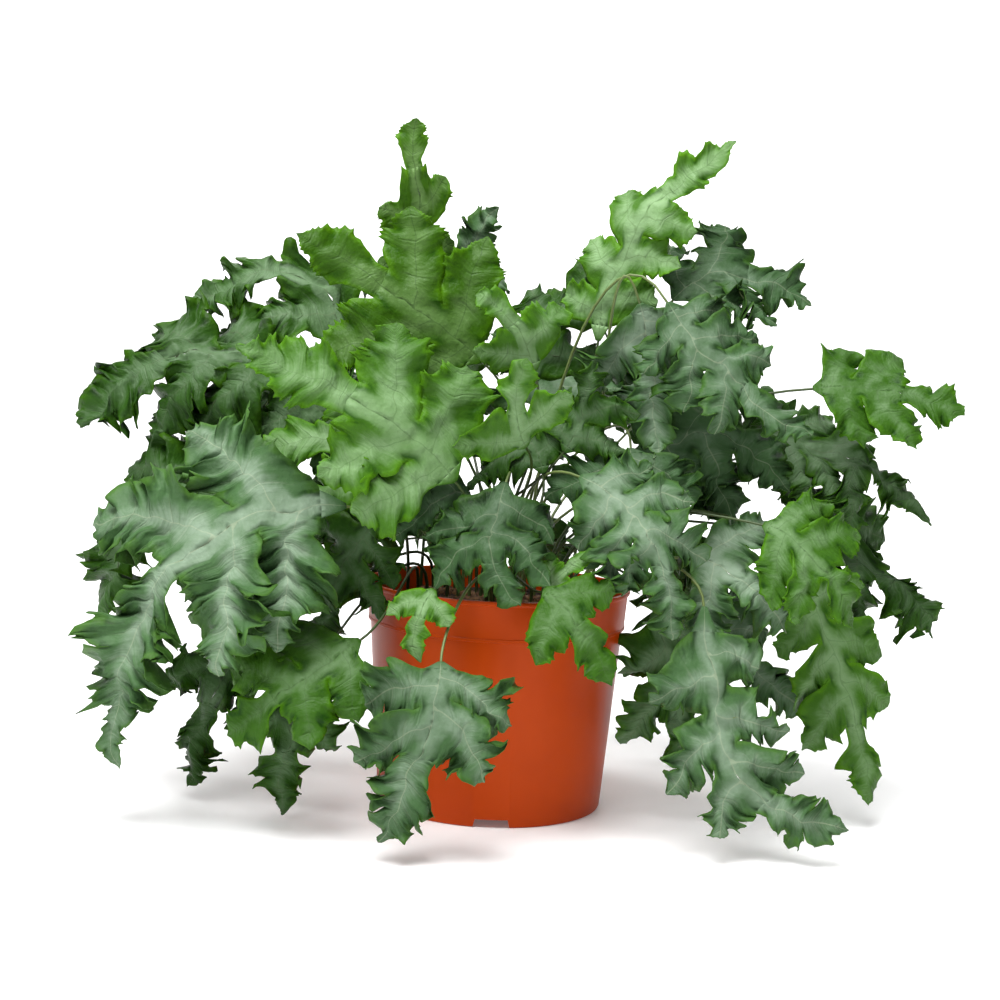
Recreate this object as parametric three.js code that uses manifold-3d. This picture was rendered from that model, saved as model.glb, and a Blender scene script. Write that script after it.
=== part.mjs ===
// A blue-green lobed fern growing in a terracotta-coloured plastic container.
// Millimetres, +Z up. The origin is the middle of the pot's flat foot, and the front looks along -Y.

import * as THREE from 'three';
import { mergeVertices } from 'three/addons/utils/BufferGeometryUtils.js';
import Module from 'manifold-3d';

const wasm = await Module();
wasm.setup();

const CLEARANCE = 0.3;
const UP = new THREE.Vector3(0, 0, 1);

// Pot
const POT_HEIGHT = 175;
const RIM_RADIUS = 105;
const LIP_HEIGHT = 3.5;
const COLLAR_DEPTH = 31;
const COLLAR_RADIUS = 102;
const COLLAR_TOP_RADIUS = 103.6;
const BODY_TOP_RADIUS = 100.2;
const FOOT_RADIUS = 89;
const FOOT_EDGE = 2;
const WALL = 1.8;
const FLOOR = 2.4;
const POT_SIDES = 32;

// Drain channels under the foot
const CHANNELS = 4;
const CHANNEL_TURN = THREE.MathUtils.degToRad(2);
const CHANNEL_HEIGHT = 6.5;
const CHANNEL_TOP_WIDTH = 25;
const CHANNEL_FOOT_WIDTH = 31;
const CHANNEL_START = 60;
const CHANNEL_END = 100;
const DRAIN_RADIUS = 4.5;
const DRAIN_PLACE = 68;

// Soil
const SOIL_EDGE_HEIGHT = 155;
const SOIL_CROWN = 4;
const SOIL_RELIEF = 1.6;
const SOIL_SIDES = POT_SIDES / 2;

// Rhizome: arms that creep outward on the soil from the middle of the pot
const ARMS = 6;
const ARM_TURN = THREE.MathUtils.degToRad(20);
const ARM_LENGTH = 82;
const ARM_RADIUS = 7;
const ARM_TIP_RADIUS = 5;
const ARM_HEIGHT = SOIL_EDGE_HEIGHT + 3;
const FIRST_FOOT = 14;
const FOOT_SPACING = 9.2;
const SOCKET_DEPTH = 6;

// Stipes, the stalks that carry the blades
const STIPE_RADIUS = 1.8;
const STIPE_TOP_RADIUS = 1.3;
const STIPE_END_RADIUS = 1.1;
const STIPE_COLLAR = 8;
const STIPE_SIDES = 3;
const STIPE_SINK = 0.6;
const STIPE_OVERLAP = 2.5;
const LEAST_RISE = 60;

// Blades
const BLADE = 0.8;
const BARE_SHARE = 0.06;
const BASE_HALF_WIDTH = 2;
const LOBULE_LENGTH = 29;
const END_LOBE_WIDTH = 1.25;
const WIDTH_OF_LOBE = 0.5;
const WING_OF_WIDTH = 0.42;

// The three looks of a blade, from a fresh one to an old curled one. breadth: half-width of a lobe
// against its spacing. lean, cut: slant and depth of its lobules. cup, ruffle: bend and wave of its
// margin. roll: turn of its leading edge over the next lobe, in degrees.
const YOUNG = { breadth: 0.72, wing: 14, lean: 0.45, cut: 0.38, cup: 0.06, ruffle: 3, roll: 10 };
const MATURE = { breadth: 0.8, wing: 12, lean: 0.55, cut: 0.5, cup: 0.14, ruffle: 4, roll: 16 };
const CURLY = { breadth: 0.7, wing: 9, lean: 0.5, cut: 0.5, cup: 0.3, ruffle: 6, roll: 24 };
const LOOK_COLORS = new Map([[YOUNG, 0x5f9a3e], [MATURE, 0x6d8f83], [CURLY, 0x3f6a45]]);

// Booleans on closed meshes

function solidOf(geometry) {
  const bare = geometry.index ? geometry.toNonIndexed() : geometry.clone();
  bare.deleteAttribute('normal');
  bare.deleteAttribute('uv');
  const merged = mergeVertices(bare, 1e-4);
  const mesh = new wasm.Mesh({
    numProp: 3,
    vertProperties: new Float32Array(merged.attributes.position.array),
    triVerts: new Uint32Array(merged.index.array),
  });
  return new wasm.Manifold(mesh);
}

function geometryOf(solid) {
  const mesh = solid.getMesh();
  const geometry = new THREE.BufferGeometry();
  geometry.setAttribute('position', new THREE.BufferAttribute(mesh.vertProperties, 3));
  geometry.setIndex(new THREE.BufferAttribute(mesh.triVerts, 1));
  const faceted = geometry.toNonIndexed();
  faceted.computeVertexNormals();
  return faceted;
}

function squaredTo(direction, tangent) {
  return direction.clone().addScaledVector(tangent, -direction.dot(tangent)).normalize();
}

function polar(azimuth, radius, height) {
  return new THREE.Vector3(radius * Math.cos(azimuth), radius * Math.sin(azimuth), height);
}

function turned(profile, sides = POT_SIDES) {
  const points = profile.map(([radius, height]) => new THREE.Vector2(radius, height));
  const geometry = new THREE.LatheGeometry(points, sides);
  geometry.rotateX(Math.PI / 2);
  return geometry;
}

// A closed tube through the given points, with a radius for each point. One side of its section
// looks along the given direction at the first point and is carried on from there without a twist.
function taperedTube(points, radii, sides, direction) {
  const positions = [];
  const index = [];
  let reference = direction;
  points.forEach((point, i) => {
    const before = points[Math.max(i - 1, 0)];
    const after = points[Math.min(i + 1, points.length - 1)];
    const tangent = after.clone().sub(before).normalize();
    reference = squaredTo(reference, tangent);
    const other = tangent.clone().cross(reference);
    for (let k = 0; k < sides; k += 1) {
      const angle = (2 * Math.PI * (k + 0.5)) / sides;
      const corner = point.clone();
      corner.addScaledVector(reference, radii[i] * Math.cos(angle));
      corner.addScaledVector(other, radii[i] * Math.sin(angle));
      positions.push(corner.x, corner.y, corner.z);
    }
  });
  for (let i = 0; i + 1 < points.length; i += 1) {
    for (let k = 0; k < sides; k += 1) {
      const a = i * sides + k;
      const b = i * sides + ((k + 1) % sides);
      index.push(a, b, b + sides, a, b + sides, a + sides);
    }
  }
  const last = (points.length - 1) * sides;
  for (let k = 1; k + 1 < sides; k += 1) {
    index.push(0, k + 1, k);
    index.push(last, last + k, last + k + 1);
  }
  const geometry = new THREE.BufferGeometry();
  geometry.setAttribute('position', new THREE.Float32BufferAttribute(positions, 3));
  geometry.setIndex(index);
  return geometry;
}

// Pot: the cavity follows the outside at one wall's thickness, and over the drain channels

function channelBlocks(grow, rise) {
  const foot = CHANNEL_FOOT_WIDTH / 2 + grow;
  const top = CHANNEL_TOP_WIDTH / 2 + grow;
  const shape = new THREE.Shape();
  shape.moveTo(-foot, -1);
  shape.lineTo(foot, -1);
  shape.lineTo(top, CHANNEL_HEIGHT + rise);
  shape.lineTo(-top, CHANNEL_HEIGHT + rise);
  const length = CHANNEL_END - CHANNEL_START + grow;
  let blocks = null;
  for (let k = 0; k < CHANNELS; k += 1) {
    const block = new THREE.ExtrudeGeometry(shape, { depth: length, bevelEnabled: false });
    block.rotateX(Math.PI / 2);
    block.translate(0, -(CHANNEL_START - grow), 0);
    block.rotateZ(CHANNEL_TURN + (2 * Math.PI * k) / CHANNELS);
    blocks = blocks ? blocks.add(solidOf(block)) : solidOf(block);
  }
  return blocks;
}

// The inside of the pot up to a height, drawn in by a gap on every side
function cavityProfile(gap, topHeight) {
  const ledge = POT_HEIGHT - COLLAR_DEPTH;
  const slope = (BODY_TOP_RADIUS - FOOT_RADIUS) / ledge;
  const flare = (COLLAR_TOP_RADIUS - COLLAR_RADIUS) / (COLLAR_DEPTH - WALL);
  return [
    [0, FLOOR + gap],
    [FOOT_RADIUS + slope * FLOOR - WALL - gap, FLOOR + gap],
    [BODY_TOP_RADIUS - WALL - gap, ledge],
    [COLLAR_RADIUS - WALL - gap, ledge + WALL],
    [COLLAR_RADIUS - WALL - gap + flare * (topHeight - ledge - WALL), topHeight],
    [0, topHeight],
  ];
}

function makePot() {
  const ledge = POT_HEIGHT - COLLAR_DEPTH;
  const outside = turned([
    [0, 0],
    [FOOT_RADIUS - FOOT_EDGE, 0],
    [FOOT_RADIUS, FOOT_EDGE],
    [BODY_TOP_RADIUS, ledge],
    [COLLAR_RADIUS, ledge + 0.8],
    [COLLAR_TOP_RADIUS, POT_HEIGHT - LIP_HEIGHT],
    [RIM_RADIUS, POT_HEIGHT - LIP_HEIGHT + 0.8],
    [RIM_RADIUS, POT_HEIGHT - 0.8],
    [RIM_RADIUS - 0.8, POT_HEIGHT],
    [0, POT_HEIGHT],
  ]);
  const cavity = solidOf(turned(cavityProfile(0, POT_HEIGHT + 1)));
  const roomInside = cavity.subtract(channelBlocks(WALL, FLOOR));
  let pot = solidOf(outside).subtract(channelBlocks(0, 0)).subtract(roomInside);
  for (let k = 0; k < CHANNELS; k += 1) {
    const drill = new THREE.CylinderGeometry(DRAIN_RADIUS, DRAIN_RADIUS, 3 * CHANNEL_HEIGHT, 8);
    drill.rotateX(Math.PI / 2);
    drill.translate(0, -DRAIN_PLACE, CHANNEL_HEIGHT);
    drill.rotateZ(CHANNEL_TURN + (2 * Math.PI * k) / CHANNELS);
    pot = pot.subtract(solidOf(drill));
  }
  return pot;
}

// Rhizome arms, half sunk in the soil, with a square socket for the foot of every stipe

function armPoint(arm, radius) {
  const sway = 0.12 * Math.sin(radius / 16 + arm);
  return polar(ARM_TURN + (2 * Math.PI * arm) / ARMS + sway, radius, ARM_HEIGHT);
}

function armRadius(radius) {
  return THREE.MathUtils.lerp(ARM_RADIUS, ARM_TIP_RADIUS, radius / ARM_LENGTH);
}

function footOf(arm, step) {
  const radius = FIRST_FOOT + FOOT_SPACING * step;
  const foot = armPoint(arm, radius);
  foot.z += armRadius(radius) - SOCKET_DEPTH;
  return foot;
}

// Each tube is one arm and the arm that lies across from it
function rhizomeArms(grow) {
  const stops = [1, 0.92, 0.45, 0, 0.45, 0.92, 1];
  const radii = stops.map((share) => armRadius(share * ARM_LENGTH) + grow);
  radii[0] *= 0.55;
  radii[radii.length - 1] *= 0.55;
  let arms = null;
  for (let arm = 0; arm < ARMS / 2; arm += 1) {
    const points = stops.map((share, i) => {
      const side = i < stops.length / 2 ? arm : arm + ARMS / 2;
      return armPoint(side, share * (ARM_LENGTH + grow));
    });
    const tube = solidOf(taperedTube(points, radii, 6, UP));
    arms = arms ? arms.add(tube) : tube;
  }
  return arms;
}

function makeRhizome(feet) {
  const side = 2 * (STIPE_RADIUS + CLEARANCE);
  let rhizome = rhizomeArms(0);
  for (const foot of feet) {
    const socket = new THREE.BoxGeometry(side, side, 2 * SOCKET_DEPTH);
    socket.rotateZ(Math.atan2(foot.y, foot.x));
    socket.translate(foot.x, foot.y, foot.z - CLEARANCE + SOCKET_DEPTH);
    rhizome = rhizome.subtract(solidOf(socket));
  }
  return rhizome;
}

// Soil: fills the pot, mounded and crumbly on top, with a bed for the rhizome

function makeSoil() {
  const profile = cavityProfile(CLEARANCE, SOIL_EDGE_HEIGHT);
  profile.pop();
  for (const radius of [45, 0]) {
    profile.push([radius, SOIL_EDGE_HEIGHT]);
  }
  const geometry = turned(profile, SOIL_SIDES);
  const position = geometry.attributes.position;
  for (let i = 0; i < position.count; i += 1) {
    const x = position.getX(i);
    const y = position.getY(i);
    const radius = Math.hypot(x, y);
    if (position.getZ(i) > SOIL_EDGE_HEIGHT - 1) {
      const crown = SOIL_CROWN * (1 - radius / RIM_RADIUS);
      const crumb = SOIL_RELIEF * Math.sin(0.31 * x + 1) * Math.sin(0.27 * y);
      position.setZ(i, SOIL_EDGE_HEIGHT + crown + crumb);
    }
  }
  const block = solidOf(geometry);
  const overChannels = channelBlocks(WALL + CLEARANCE, FLOOR + CLEARANCE);
  return block.subtract(overChannels).subtract(rhizomeArms(CLEARANCE));
}

// Blades: a midrib strip with lobes along both sides and one at its end, all cut into lobules

function wobble(seed, k) {
  const value = Math.sin(seed * 12.9898 + k * 78.233) * 43758.5453;
  return 2 * (value - Math.floor(value)) - 1;
}

function curveThrough(start, middle, end) {
  const control = middle.clone().multiplyScalar(2);
  control.addScaledVector(start, -0.5).addScaledVector(end, -0.5);
  return new THREE.QuadraticBezierCurve3(start, control, end);
}

// Position on a lobe: s runs along its rib from 0 to 1, u across it from -1 to 1
function lobePoint(lobe, s, u) {
  const tangent = lobe.rib.getTangent(s);
  const normal = squaredTo(lobe.facing, tangent);
  const across = tangent.clone().cross(normal).multiplyScalar(lobe.hand);
  const lobule = Math.abs(Math.sin(Math.PI * lobe.lobules * s)) ** 0.6;
  const tooth = 1 - lobe.kind.cut * (1 - lobule);
  const outline = Math.sin(Math.PI * (0.3 + 0.7 * s)) ** 1.2;
  const width = lobe.halfWidth * outline * tooth;
  const wave = Math.sin(Math.PI * lobe.lobules * s + 2 * u + lobe.seed);
  const lift = lobe.kind.ruffle * outline * u * u * wave - lobe.kind.cup * u * u * width;
  const side = new THREE.Vector3();
  side.addScaledVector(across, u * width);
  side.addScaledVector(tangent, lobe.kind.lean * Math.abs(u) * width);
  side.addScaledVector(normal, lift);
  const settled = THREE.MathUtils.smoothstep(s, 0, 0.35);
  const offset = lobe.baseOffset(u).lerp(side, settled);
  return lobe.rib.getPoint(s).add(offset);
}

// One half of a lobe as triangles between its rib and its margin of lobule tips and notches
function addHalfLobe(surface, lobe, ribIds, firstId, u, flip) {
  let notch = firstId;
  for (let k = 0; k < lobe.lobules; k += 1) {
    const tip = surface.points.push(lobePoint(lobe, (k + 0.5) / lobe.lobules, u)) - 1;
    const triangles = [[ribIds[k], notch, tip], [ribIds[k], tip, ribIds[k + 1]]];
    if (k + 1 < lobe.lobules) {
      const next = surface.points.push(lobePoint(lobe, (k + 1) / lobe.lobules, u)) - 1;
      triangles.push([ribIds[k + 1], tip, next]);
      notch = next;
    }
    for (const [a, b, c] of triangles) {
      surface.triangles.push(flip ? [a, c, b] : [a, b, c]);
    }
  }
}

function addLobe(surface, lobe, nearId, ribId, farId) {
  const ribIds = [ribId];
  for (let k = 1; k <= lobe.lobules; k += 1) {
    ribIds.push(surface.points.push(lobePoint(lobe, k / lobe.lobules, 0)) - 1);
  }
  addHalfLobe(surface, lobe, ribIds, farId, 1, lobe.hand < 0);
  addHalfLobe(surface, lobe, ribIds, nearId, -1, lobe.hand > 0);
}

// Gives the open surface its thickness, split alike on both faces, and closes its edge
function thicken(surface) {
  const normals = surface.points.map(() => new THREE.Vector3());
  const edges = new Set();
  for (const [a, b, c] of surface.triangles) {
    const [p, q, r] = [surface.points[a], surface.points[b], surface.points[c]];
    const normal = q.clone().sub(p).cross(r.clone().sub(p));
    for (const id of [a, b, c]) {
      normals[id].add(normal);
    }
    for (const [from, to] of [[a, b], [b, c], [c, a]]) {
      edges.add(`${from} ${to}`);
    }
  }
  const count = surface.points.length;
  const positions = [];
  for (const side of [0.5, -0.5]) {
    surface.points.forEach((point, id) => {
      const moved = point.clone().addScaledVector(normals[id].clone().normalize(), side * BLADE);
      positions.push(moved.x, moved.y, moved.z);
    });
  }
  const index = [];
  for (const [a, b, c] of surface.triangles) {
    index.push(a, b, c, count + a, count + c, count + b);
  }
  for (const edge of edges) {
    const [a, b] = edge.split(' ').map(Number);
    if (!edges.has(`${b} ${a}`)) {
      index.push(b, a, count + a, b, count + a, count + b);
    }
  }
  const geometry = new THREE.BufferGeometry();
  geometry.setAttribute('position', new THREE.Float32BufferAttribute(positions, 3));
  geometry.setIndex(index);
  return geometry;
}

function makeBlade(frond, rachis, facing) {
  const { kind, pairs, seed } = frond;
  const rows = 3 * pairs + 1;
  const step = (frond.lobedShare - BARE_SHARE) / rows;
  const length = rachis.getLength();
  const halfWidth = Math.min(kind.breadth * 3 * step * length, WIDTH_OF_LOBE * frond.lobe);
  const wing = Math.min(kind.wing, WING_OF_WIDTH * halfWidth);
  const surface = { points: [], triangles: [] };

  const edgePoint = (t, side) => {
    const tangent = rachis.getTangent(t);
    const normal = squaredTo(facing, tangent);
    const across = tangent.clone().cross(normal);
    const half = t <= 0 ? BASE_HALF_WIDTH : wing;
    return rachis.getPoint(t).addScaledVector(across, side * half);
  };
  const left = [];
  const middle = [];
  const right = [];
  for (let i = -1; i <= rows; i += 1) {
    const t = i < 0 ? 0 : BARE_SHARE + i * step;
    left.push(surface.points.push(edgePoint(t, -1)) - 1);
    right.push(surface.points.push(edgePoint(t, 1)) - 1);
    const kept = i <= 0 || i === rows || i % 3 === 2;
    middle.push(kept ? surface.points.push(rachis.getPoint(t)) - 1 : middle.at(-1));
  }
  for (let i = 0; i <= rows; i += 1) {
    surface.triangles.push([left[i], middle[i], left[i + 1]], [right[i], right[i + 1], middle[i]]);
    if (middle[i + 1] !== middle[i]) {
      surface.triangles.push([left[i + 1], middle[i], middle[i + 1]]);
      surface.triangles.push([right[i + 1], middle[i + 1], middle[i]]);
    }
  }

  for (let pair = 0; pair < pairs; pair += 1) {
    for (const side of [-1, 1]) {
      const row = 3 * pair + (side > 0 ? 1 : 0);
      const t = BARE_SHARE + (row + 1) * step;
      const draw = 2 * pair + (side > 0 ? 1 : 0);
      const tangent = rachis.getTangent(t);
      const normal = squaredTo(facing, tangent);
      const outward = tangent.clone().cross(normal).multiplyScalar(side);
      const place = (pair + 0.5) / pairs;
      const angle = THREE.MathUtils.degToRad(76 - 30 * place + 7 * wobble(seed, draw));
      const direction = tangent.clone().multiplyScalar(Math.cos(angle));
      direction.addScaledVector(outward, Math.sin(angle));
      const roll = THREE.MathUtils.degToRad(kind.roll * (1 + 0.4 * wobble(seed, draw + 20)));
      const distal = direction.clone().cross(normal).multiplyScalar(-side);
      const reach = frond.lobe * (1 - 0.2 * Math.abs(2 * place - 1) + 0.1 * wobble(seed, draw + 40));
      const start = edgePoint(t, side);
      const halfway = start.clone().addScaledVector(direction, reach / 2);
      const end = start.clone().addScaledVector(direction, reach * (1 - 0.3 * frond.fall));
      end.addScaledVector(normal, -0.7 * frond.fall * reach).addScaledVector(UP, -0.5 * frond.fall * reach);
      const lobe = {
        kind,
        seed: seed + draw,
        hand: -side,
        lobules: Math.max(2, Math.round(reach / LOBULE_LENGTH)),
        halfWidth,
        rib: new THREE.QuadraticBezierCurve3(start, halfway, end),
        facing: normal.multiplyScalar(Math.cos(roll)).addScaledVector(distal, Math.sin(roll)),
        baseOffset: (u) => edgePoint(t + u * step, side).sub(start),
      };
      const rowIds = side < 0 ? left : right;
      addLobe(surface, lobe, rowIds[row + 1], rowIds[row + 2], rowIds[row + 3]);
    }
  }

  const crown = frond.lobedShare;
  const rib = new THREE.QuadraticBezierCurve3(
    rachis.getPoint(crown),
    rachis.v1.clone().lerp(rachis.v2, crown),
    rachis.v2.clone(),
  );
  const endLobe = {
    kind,
    seed: seed + 9,
    hand: 1,
    lobules: Math.max(3, Math.round(rib.getLength() / LOBULE_LENGTH)),
    halfWidth: Math.min(END_LOBE_WIDTH * halfWidth, WIDTH_OF_LOBE * rib.getLength()),
    rib,
    facing,
    baseOffset: (u) => edgePoint(crown, Math.sign(u)).sub(rachis.getPoint(crown)).multiplyScalar(Math.abs(u)),
  };
  const end = rows + 1;
  addLobe(surface, endLobe, left[end], middle[end], right[end]);
  return thicken(surface);
}

// Stipe: stands upright in its socket, arches to the blade and ends fused under its first part
function makeStipe(foot, rachis, facing) {
  const collar = foot.clone().addScaledVector(UP, STIPE_COLLAR);
  const base = rachis.getPoint(0);
  const tangent = rachis.getTangent(0);
  const normal = squaredTo(facing, tangent);
  const reach = collar.distanceTo(base);
  const rise = collar.clone().addScaledVector(UP, Math.max(0.45 * reach, LEAST_RISE));
  const approach = base.clone().addScaledVector(tangent, -0.4 * reach);
  const arch = new THREE.CubicBezierCurve3(collar, rise, approach, base);
  const under = base.clone().addScaledVector(normal, -STIPE_SINK);
  const end = under.clone().addScaledVector(tangent, STIPE_OVERLAP);
  const points = [foot, collar, arch.getPoint(0.3), arch.getPoint(0.65), under, end];
  const radii = points.map((_, i) => THREE.MathUtils.lerp(STIPE_RADIUS, STIPE_TOP_RADIUS, i / 4));
  radii[5] = STIPE_END_RADIUS;
  return taperedTube(points.reverse(), radii.reverse(), STIPE_SIDES, normal);
}

function makeFrond(frond) {
  const [start, middle, tip] = frond.blade.map((point) => new THREE.Vector3(...point));
  const rachis = curveThrough(start, middle, tip);
  const facing = new THREE.Vector3(...frond.face).normalize();
  const blade = solidOf(makeBlade(frond, rachis, facing));
  const stipe = solidOf(makeStipe(frond.foot, rachis, facing));
  return blade.add(stipe);
}

// The fronds, one a row: where it shows from the front and its look, the arm of the rhizome and the
// place on it that carry it, the start, middle and tip of its blade, where its upper side looks, its
// pairs of side lobes, the length of the longest, how far they hang, and the share of the blade that
// the pairs take where it isn't the usual one
const USUAL_SHARE = [0, 0.45, 0.6, 0.66];
const FRONDS = [
  ['top_spike', YOUNG, 1, 0, [-60, 35, 345], [-76, 30, 440], [-83, 20, 538], [0, -10, 2], 3, 32, 0.1, 0.82],
  ['top_left', YOUNG, 3, 0, [-20, -25, 350], [-85, -35, 397], [-167, -40, 442], [1, -10, 2], 2, 88, 0.1],
  ['top_right', YOUNG, 0, 0, [70, 15, 370], [98, 10, 462], [168, 0, 530], [-3, -9, 3], 3, 38, 0.2],
  ['top_small', MATURE, 1, 1, [-45, 75, 365], [-40, 80, 435], [-11, 80, 478], [2, -10, 2], 1, 45, 0.2],
  ['top_fresh', YOUNG, 4, 0, [20, -50, 345], [0, -65, 384], [-27, -70, 400], [0, -10, 3], 1, 34, 0.2],
  ['top_middle', CURLY, 1, 2, [15, 45, 330], [45, 55, 400], [62, 60, 440], [1, -9, 4], 2, 50, 0.3],
  ['right_high', MATURE, 0, 1, [119, -40, 402], [163, -55, 352], [229, -70, 308], [2, -9, 5], 3, 46, 0.2],
  ['right_middle', MATURE, 5, 1, [105, -5, 275], [165, -10, 300], [225, -15, 262], [0, -9, 1], 2, 62, 0.4],
  ['right_tip', YOUNG, 0, 5, [240, 0, 341], [300, -5, 341], [357, -15, 328], [0, -8, 6], 2, 46, 0.2],
  ['right_curled', CURLY, 0, 3, [206, 30, 289], [270, 30, 290], [340, 10, 238], [2, -7, 7], 3, 66, 0.5],
  ['right_outer', CURLY, 0, 4, [225, 40, 225], [300, 40, 204], [357, 30, 142], [3, -7, 6], 2, 68, 0.4],
  ['right_green', YOUNG, 5, 3, [195, -85, 240], [235, -100, 218], [268, -95, 165], [3, -9, 5], 2, 54, 0.2],
  ['right_hanging', YOUNG, 5, 4, [236, -20, 199], [277, -20, 106], [294, -40, 19], [3, -9, 2], 3, 44, 0.1],
  ['right_cascade', MATURE, 5, 0, [57, -80, 269], [109, -115, 228], [127, -120, 156], [1, -10, 4], 3, 48, 0.3],
  ['right_low', MATURE, 5, 5, [145, -50, 208], [185, -75, 197], [221, -80, 153], [2, -9, 5], 1, 55, 0.2],
  ['right_foot', MATURE, 5, 7, [152, -110, 180], [180, -145, 66], [258, -145, 28], [2, -10, 3], 3, 46, 0.1],
  ['right_inner', CURLY, 5, 6, [124, -20, 162], [143, -35, 93], [157, -45, 28], [2, -10, 1], 2, 44, 0.2],
  ['right_behind', MATURE, 0, 6, [155, 30, 165], [194, 25, 126], [255, 25, 76], [4, -8, 4], 2, 50, 0.3],
  ['front_right', YOUNG, 5, 2, [34, -125, 190], [60, -145, 165], [85, -145, 128], [0, -10, 4], 1, 38, 0.2, 0.5],
  ['front_sprout', YOUNG, 4, 4, [36, -100, 186], [52, -112, 202], [73, -118, 213], [0, -8, 6], 1, 20, 0.2],
  ['front_middle', YOUNG, 4, 1, [16, -95, 290], [8, -120, 318], [15, -125, 357], [0, -10, 2], 1, 44, 0.2],
  ['front_hanging', MATURE, 4, 3, [2, -80, 262], [-4, -120, 215], [14, -132, 180], [0, -10, 4], 2, 43, 0.2],
  ['front_inner', MATURE, 3, 1, [-24, -66, 250], [-53, -91, 248], [-80, -96, 216], [0, -9, 5], 1, 50, 0.3],
  ['front_pot', MATURE, 4, 6, [-38, -160, 139], [-46, -188, 88], [-74, -192, 12], [0, -10, 3], 2, 54, 0.2],
  ['front_small', YOUNG, 4, 5, [-46, -130, 186], [-56, -148, 164], [-52, -150, 136], [0, -10, 3], 1, 24, 0.2],
  ['front_left', YOUNG, 4, 2, [-35, -95, 262], [-95, -115, 312], [-195, -125, 355], [1, -10, 4], 2, 72, 0.1],
  ['left_green', YOUNG, 3, 2, [-50, -35, 245], [-113, -40, 282], [-195, -40, 275], [0, -9, 5], 2, 66, 0.3],
  ['left_low', YOUNG, 3, 6, [-99, -120, 145], [-149, -150, 111], [-189, -150, 77], [-3, -10, 4], 2, 46, 0.2],
  ['left_hanging', CURLY, 3, 5, [-120, -80, 140], [-150, -105, 70], [-154, -95, 6], [-2, -10, 2], 2, 38, 0.2],
  ['left_foot', CURLY, 2, 6, [-152, -30, 150], [-215, -45, 90], [-234, -50, 6], [-5, -9, 3], 2, 56, 0.2],
  ['left_great', MATURE, 3, 4, [-115, -95, 240], [-232, -140, 197], [-275, -130, 42],
    [-3, -10, 4], 2, 105, 0.3, 0.52],
  ['left_outer', CURLY, 2, 4, [-180, -15, 244], [-275, -40, 219], [-305, -45, 126],
    [-6, -7, 4], 1, 75, 0.3, 0.5],
  ['left_high', CURLY, 2, 2, [-130, 15, 285], [-240, 10, 345], [-338, 0, 285], [0, -8, 6], 3, 84, 0.6],
  ['left_arch', CURLY, 2, 1, [-125, 60, 345], [-194, 65, 417], [-262, 55, 371], [0, -6, 8], 1, 66, 0.3, 0.48],
  ['right_drop', MATURE, 0, 7, [98, -37, 400], [110, -35, 345], [110, -62, 282], [0, -10, 2], 1, 50, 0.2],
  ['centre_right', MATURE, 1, 6, [96, -50, 290], [86, -72, 255], [58, -88, 202], [-2, -10, 3], 1, 40, 0.3],
  ['centre_dark', CURLY, 4, 7, [30, -58, 268], [10, -52, 293], [-30, -58, 276], [0, -8, 6], 2, 36, 0.3],
  ['left_inner', CURLY, 3, 7, [-95, -82, 225], [-122, -72, 180], [-132, -72, 120], [-1, -10, 2], 2, 38, 0.2],
  ['left_behind', CURLY, 2, 7, [-85, 50, 235], [-150, 55, 215], [-175, 55, 140], [-1, -9, 4], 1, 48, 0.2],
  ['back_left', MATURE, 2, 3, [-90, 90, 290], [-165, 135, 330], [-240, 160, 265], [-4, 5, 8], 2, 64, 0.4],
  ['back_high', CURLY, 2, 0, [-40, 95, 320], [-70, 165, 375], [-100, 245, 335], [-2, 4, 9], 2, 64, 0.4],
  ['back_middle', MATURE, 1, 3, [35, 105, 300], [60, 175, 345], [80, 250, 285], [2, 5, 8], 2, 64, 0.4],
  ['back_right', MATURE, 0, 2, [105, 85, 300], [180, 125, 335], [255, 155, 270], [4, 4, 8], 2, 64, 0.4],
  ['back_low_left', CURLY, 2, 5, [-95, 80, 200], [-170, 145, 190], [-210, 185, 80], [-6, 7, 5], 1, 60, 0.3],
  ['back_low', MATURE, 1, 5, [-10, 120, 210], [-15, 195, 185], [-20, 235, 70], [0, 9, 5], 1, 65, 0.3],
  ['back_low_right', CURLY, 1, 4, [95, 105, 200], [150, 175, 185], [180, 210, 75], [6, 7, 5], 1, 60, 0.3],
  ['right_crest', MATURE, 1, 7, [127, 10, 405], [176, 20, 430], [238, 15, 408], [0, -8, 6], 2, 58, 0.2],
  ['centre_high', CURLY, 3, 3, [45, -55, 285], [62, -55, 320], [68, -60, 360], [0, -9, 3], 2, 38, 0.3],
];

const group = new THREE.Group();

function addPiece(name, solid, material) {
  const mesh = new THREE.Mesh(geometryOf(solid), material);
  mesh.name = name;
  group.add(mesh);
}

function surfaceOf(color, roughness) {
  return new THREE.MeshStandardMaterial({ color, roughness, metalness: 0 });
}

const fronds = FRONDS.map((row, i) => {
  const [where, kind, arm, place, start, middle, tip, face, pairs, lobe, fall, share] = row;
  return {
    name: `frond_${where}`,
    foot: footOf(arm, place),
    blade: [start, middle, tip],
    lobedShare: share ?? USUAL_SHARE[pairs],
    kind,
    face,
    pairs,
    lobe,
    fall,
    seed: i + 1,
  };
});

addPiece('pot', makePot(), surfaceOf(0xaa4218, 0.35));
addPiece('soil', makeSoil(), surfaceOf(0x2b211a, 1));
addPiece('rhizome', makeRhizome(fronds.map((frond) => frond.foot)), surfaceOf(0x8a6a3c, 0.8));
for (const frond of fronds) {
  addPiece(frond.name, makeFrond(frond), surfaceOf(LOOK_COLORS.get(frond.kind), 0.6));
}

export default group;
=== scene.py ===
import math
import random
from dataclasses import dataclass

import bmesh
import bpy
from mathutils import Matrix, Vector, noise


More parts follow.
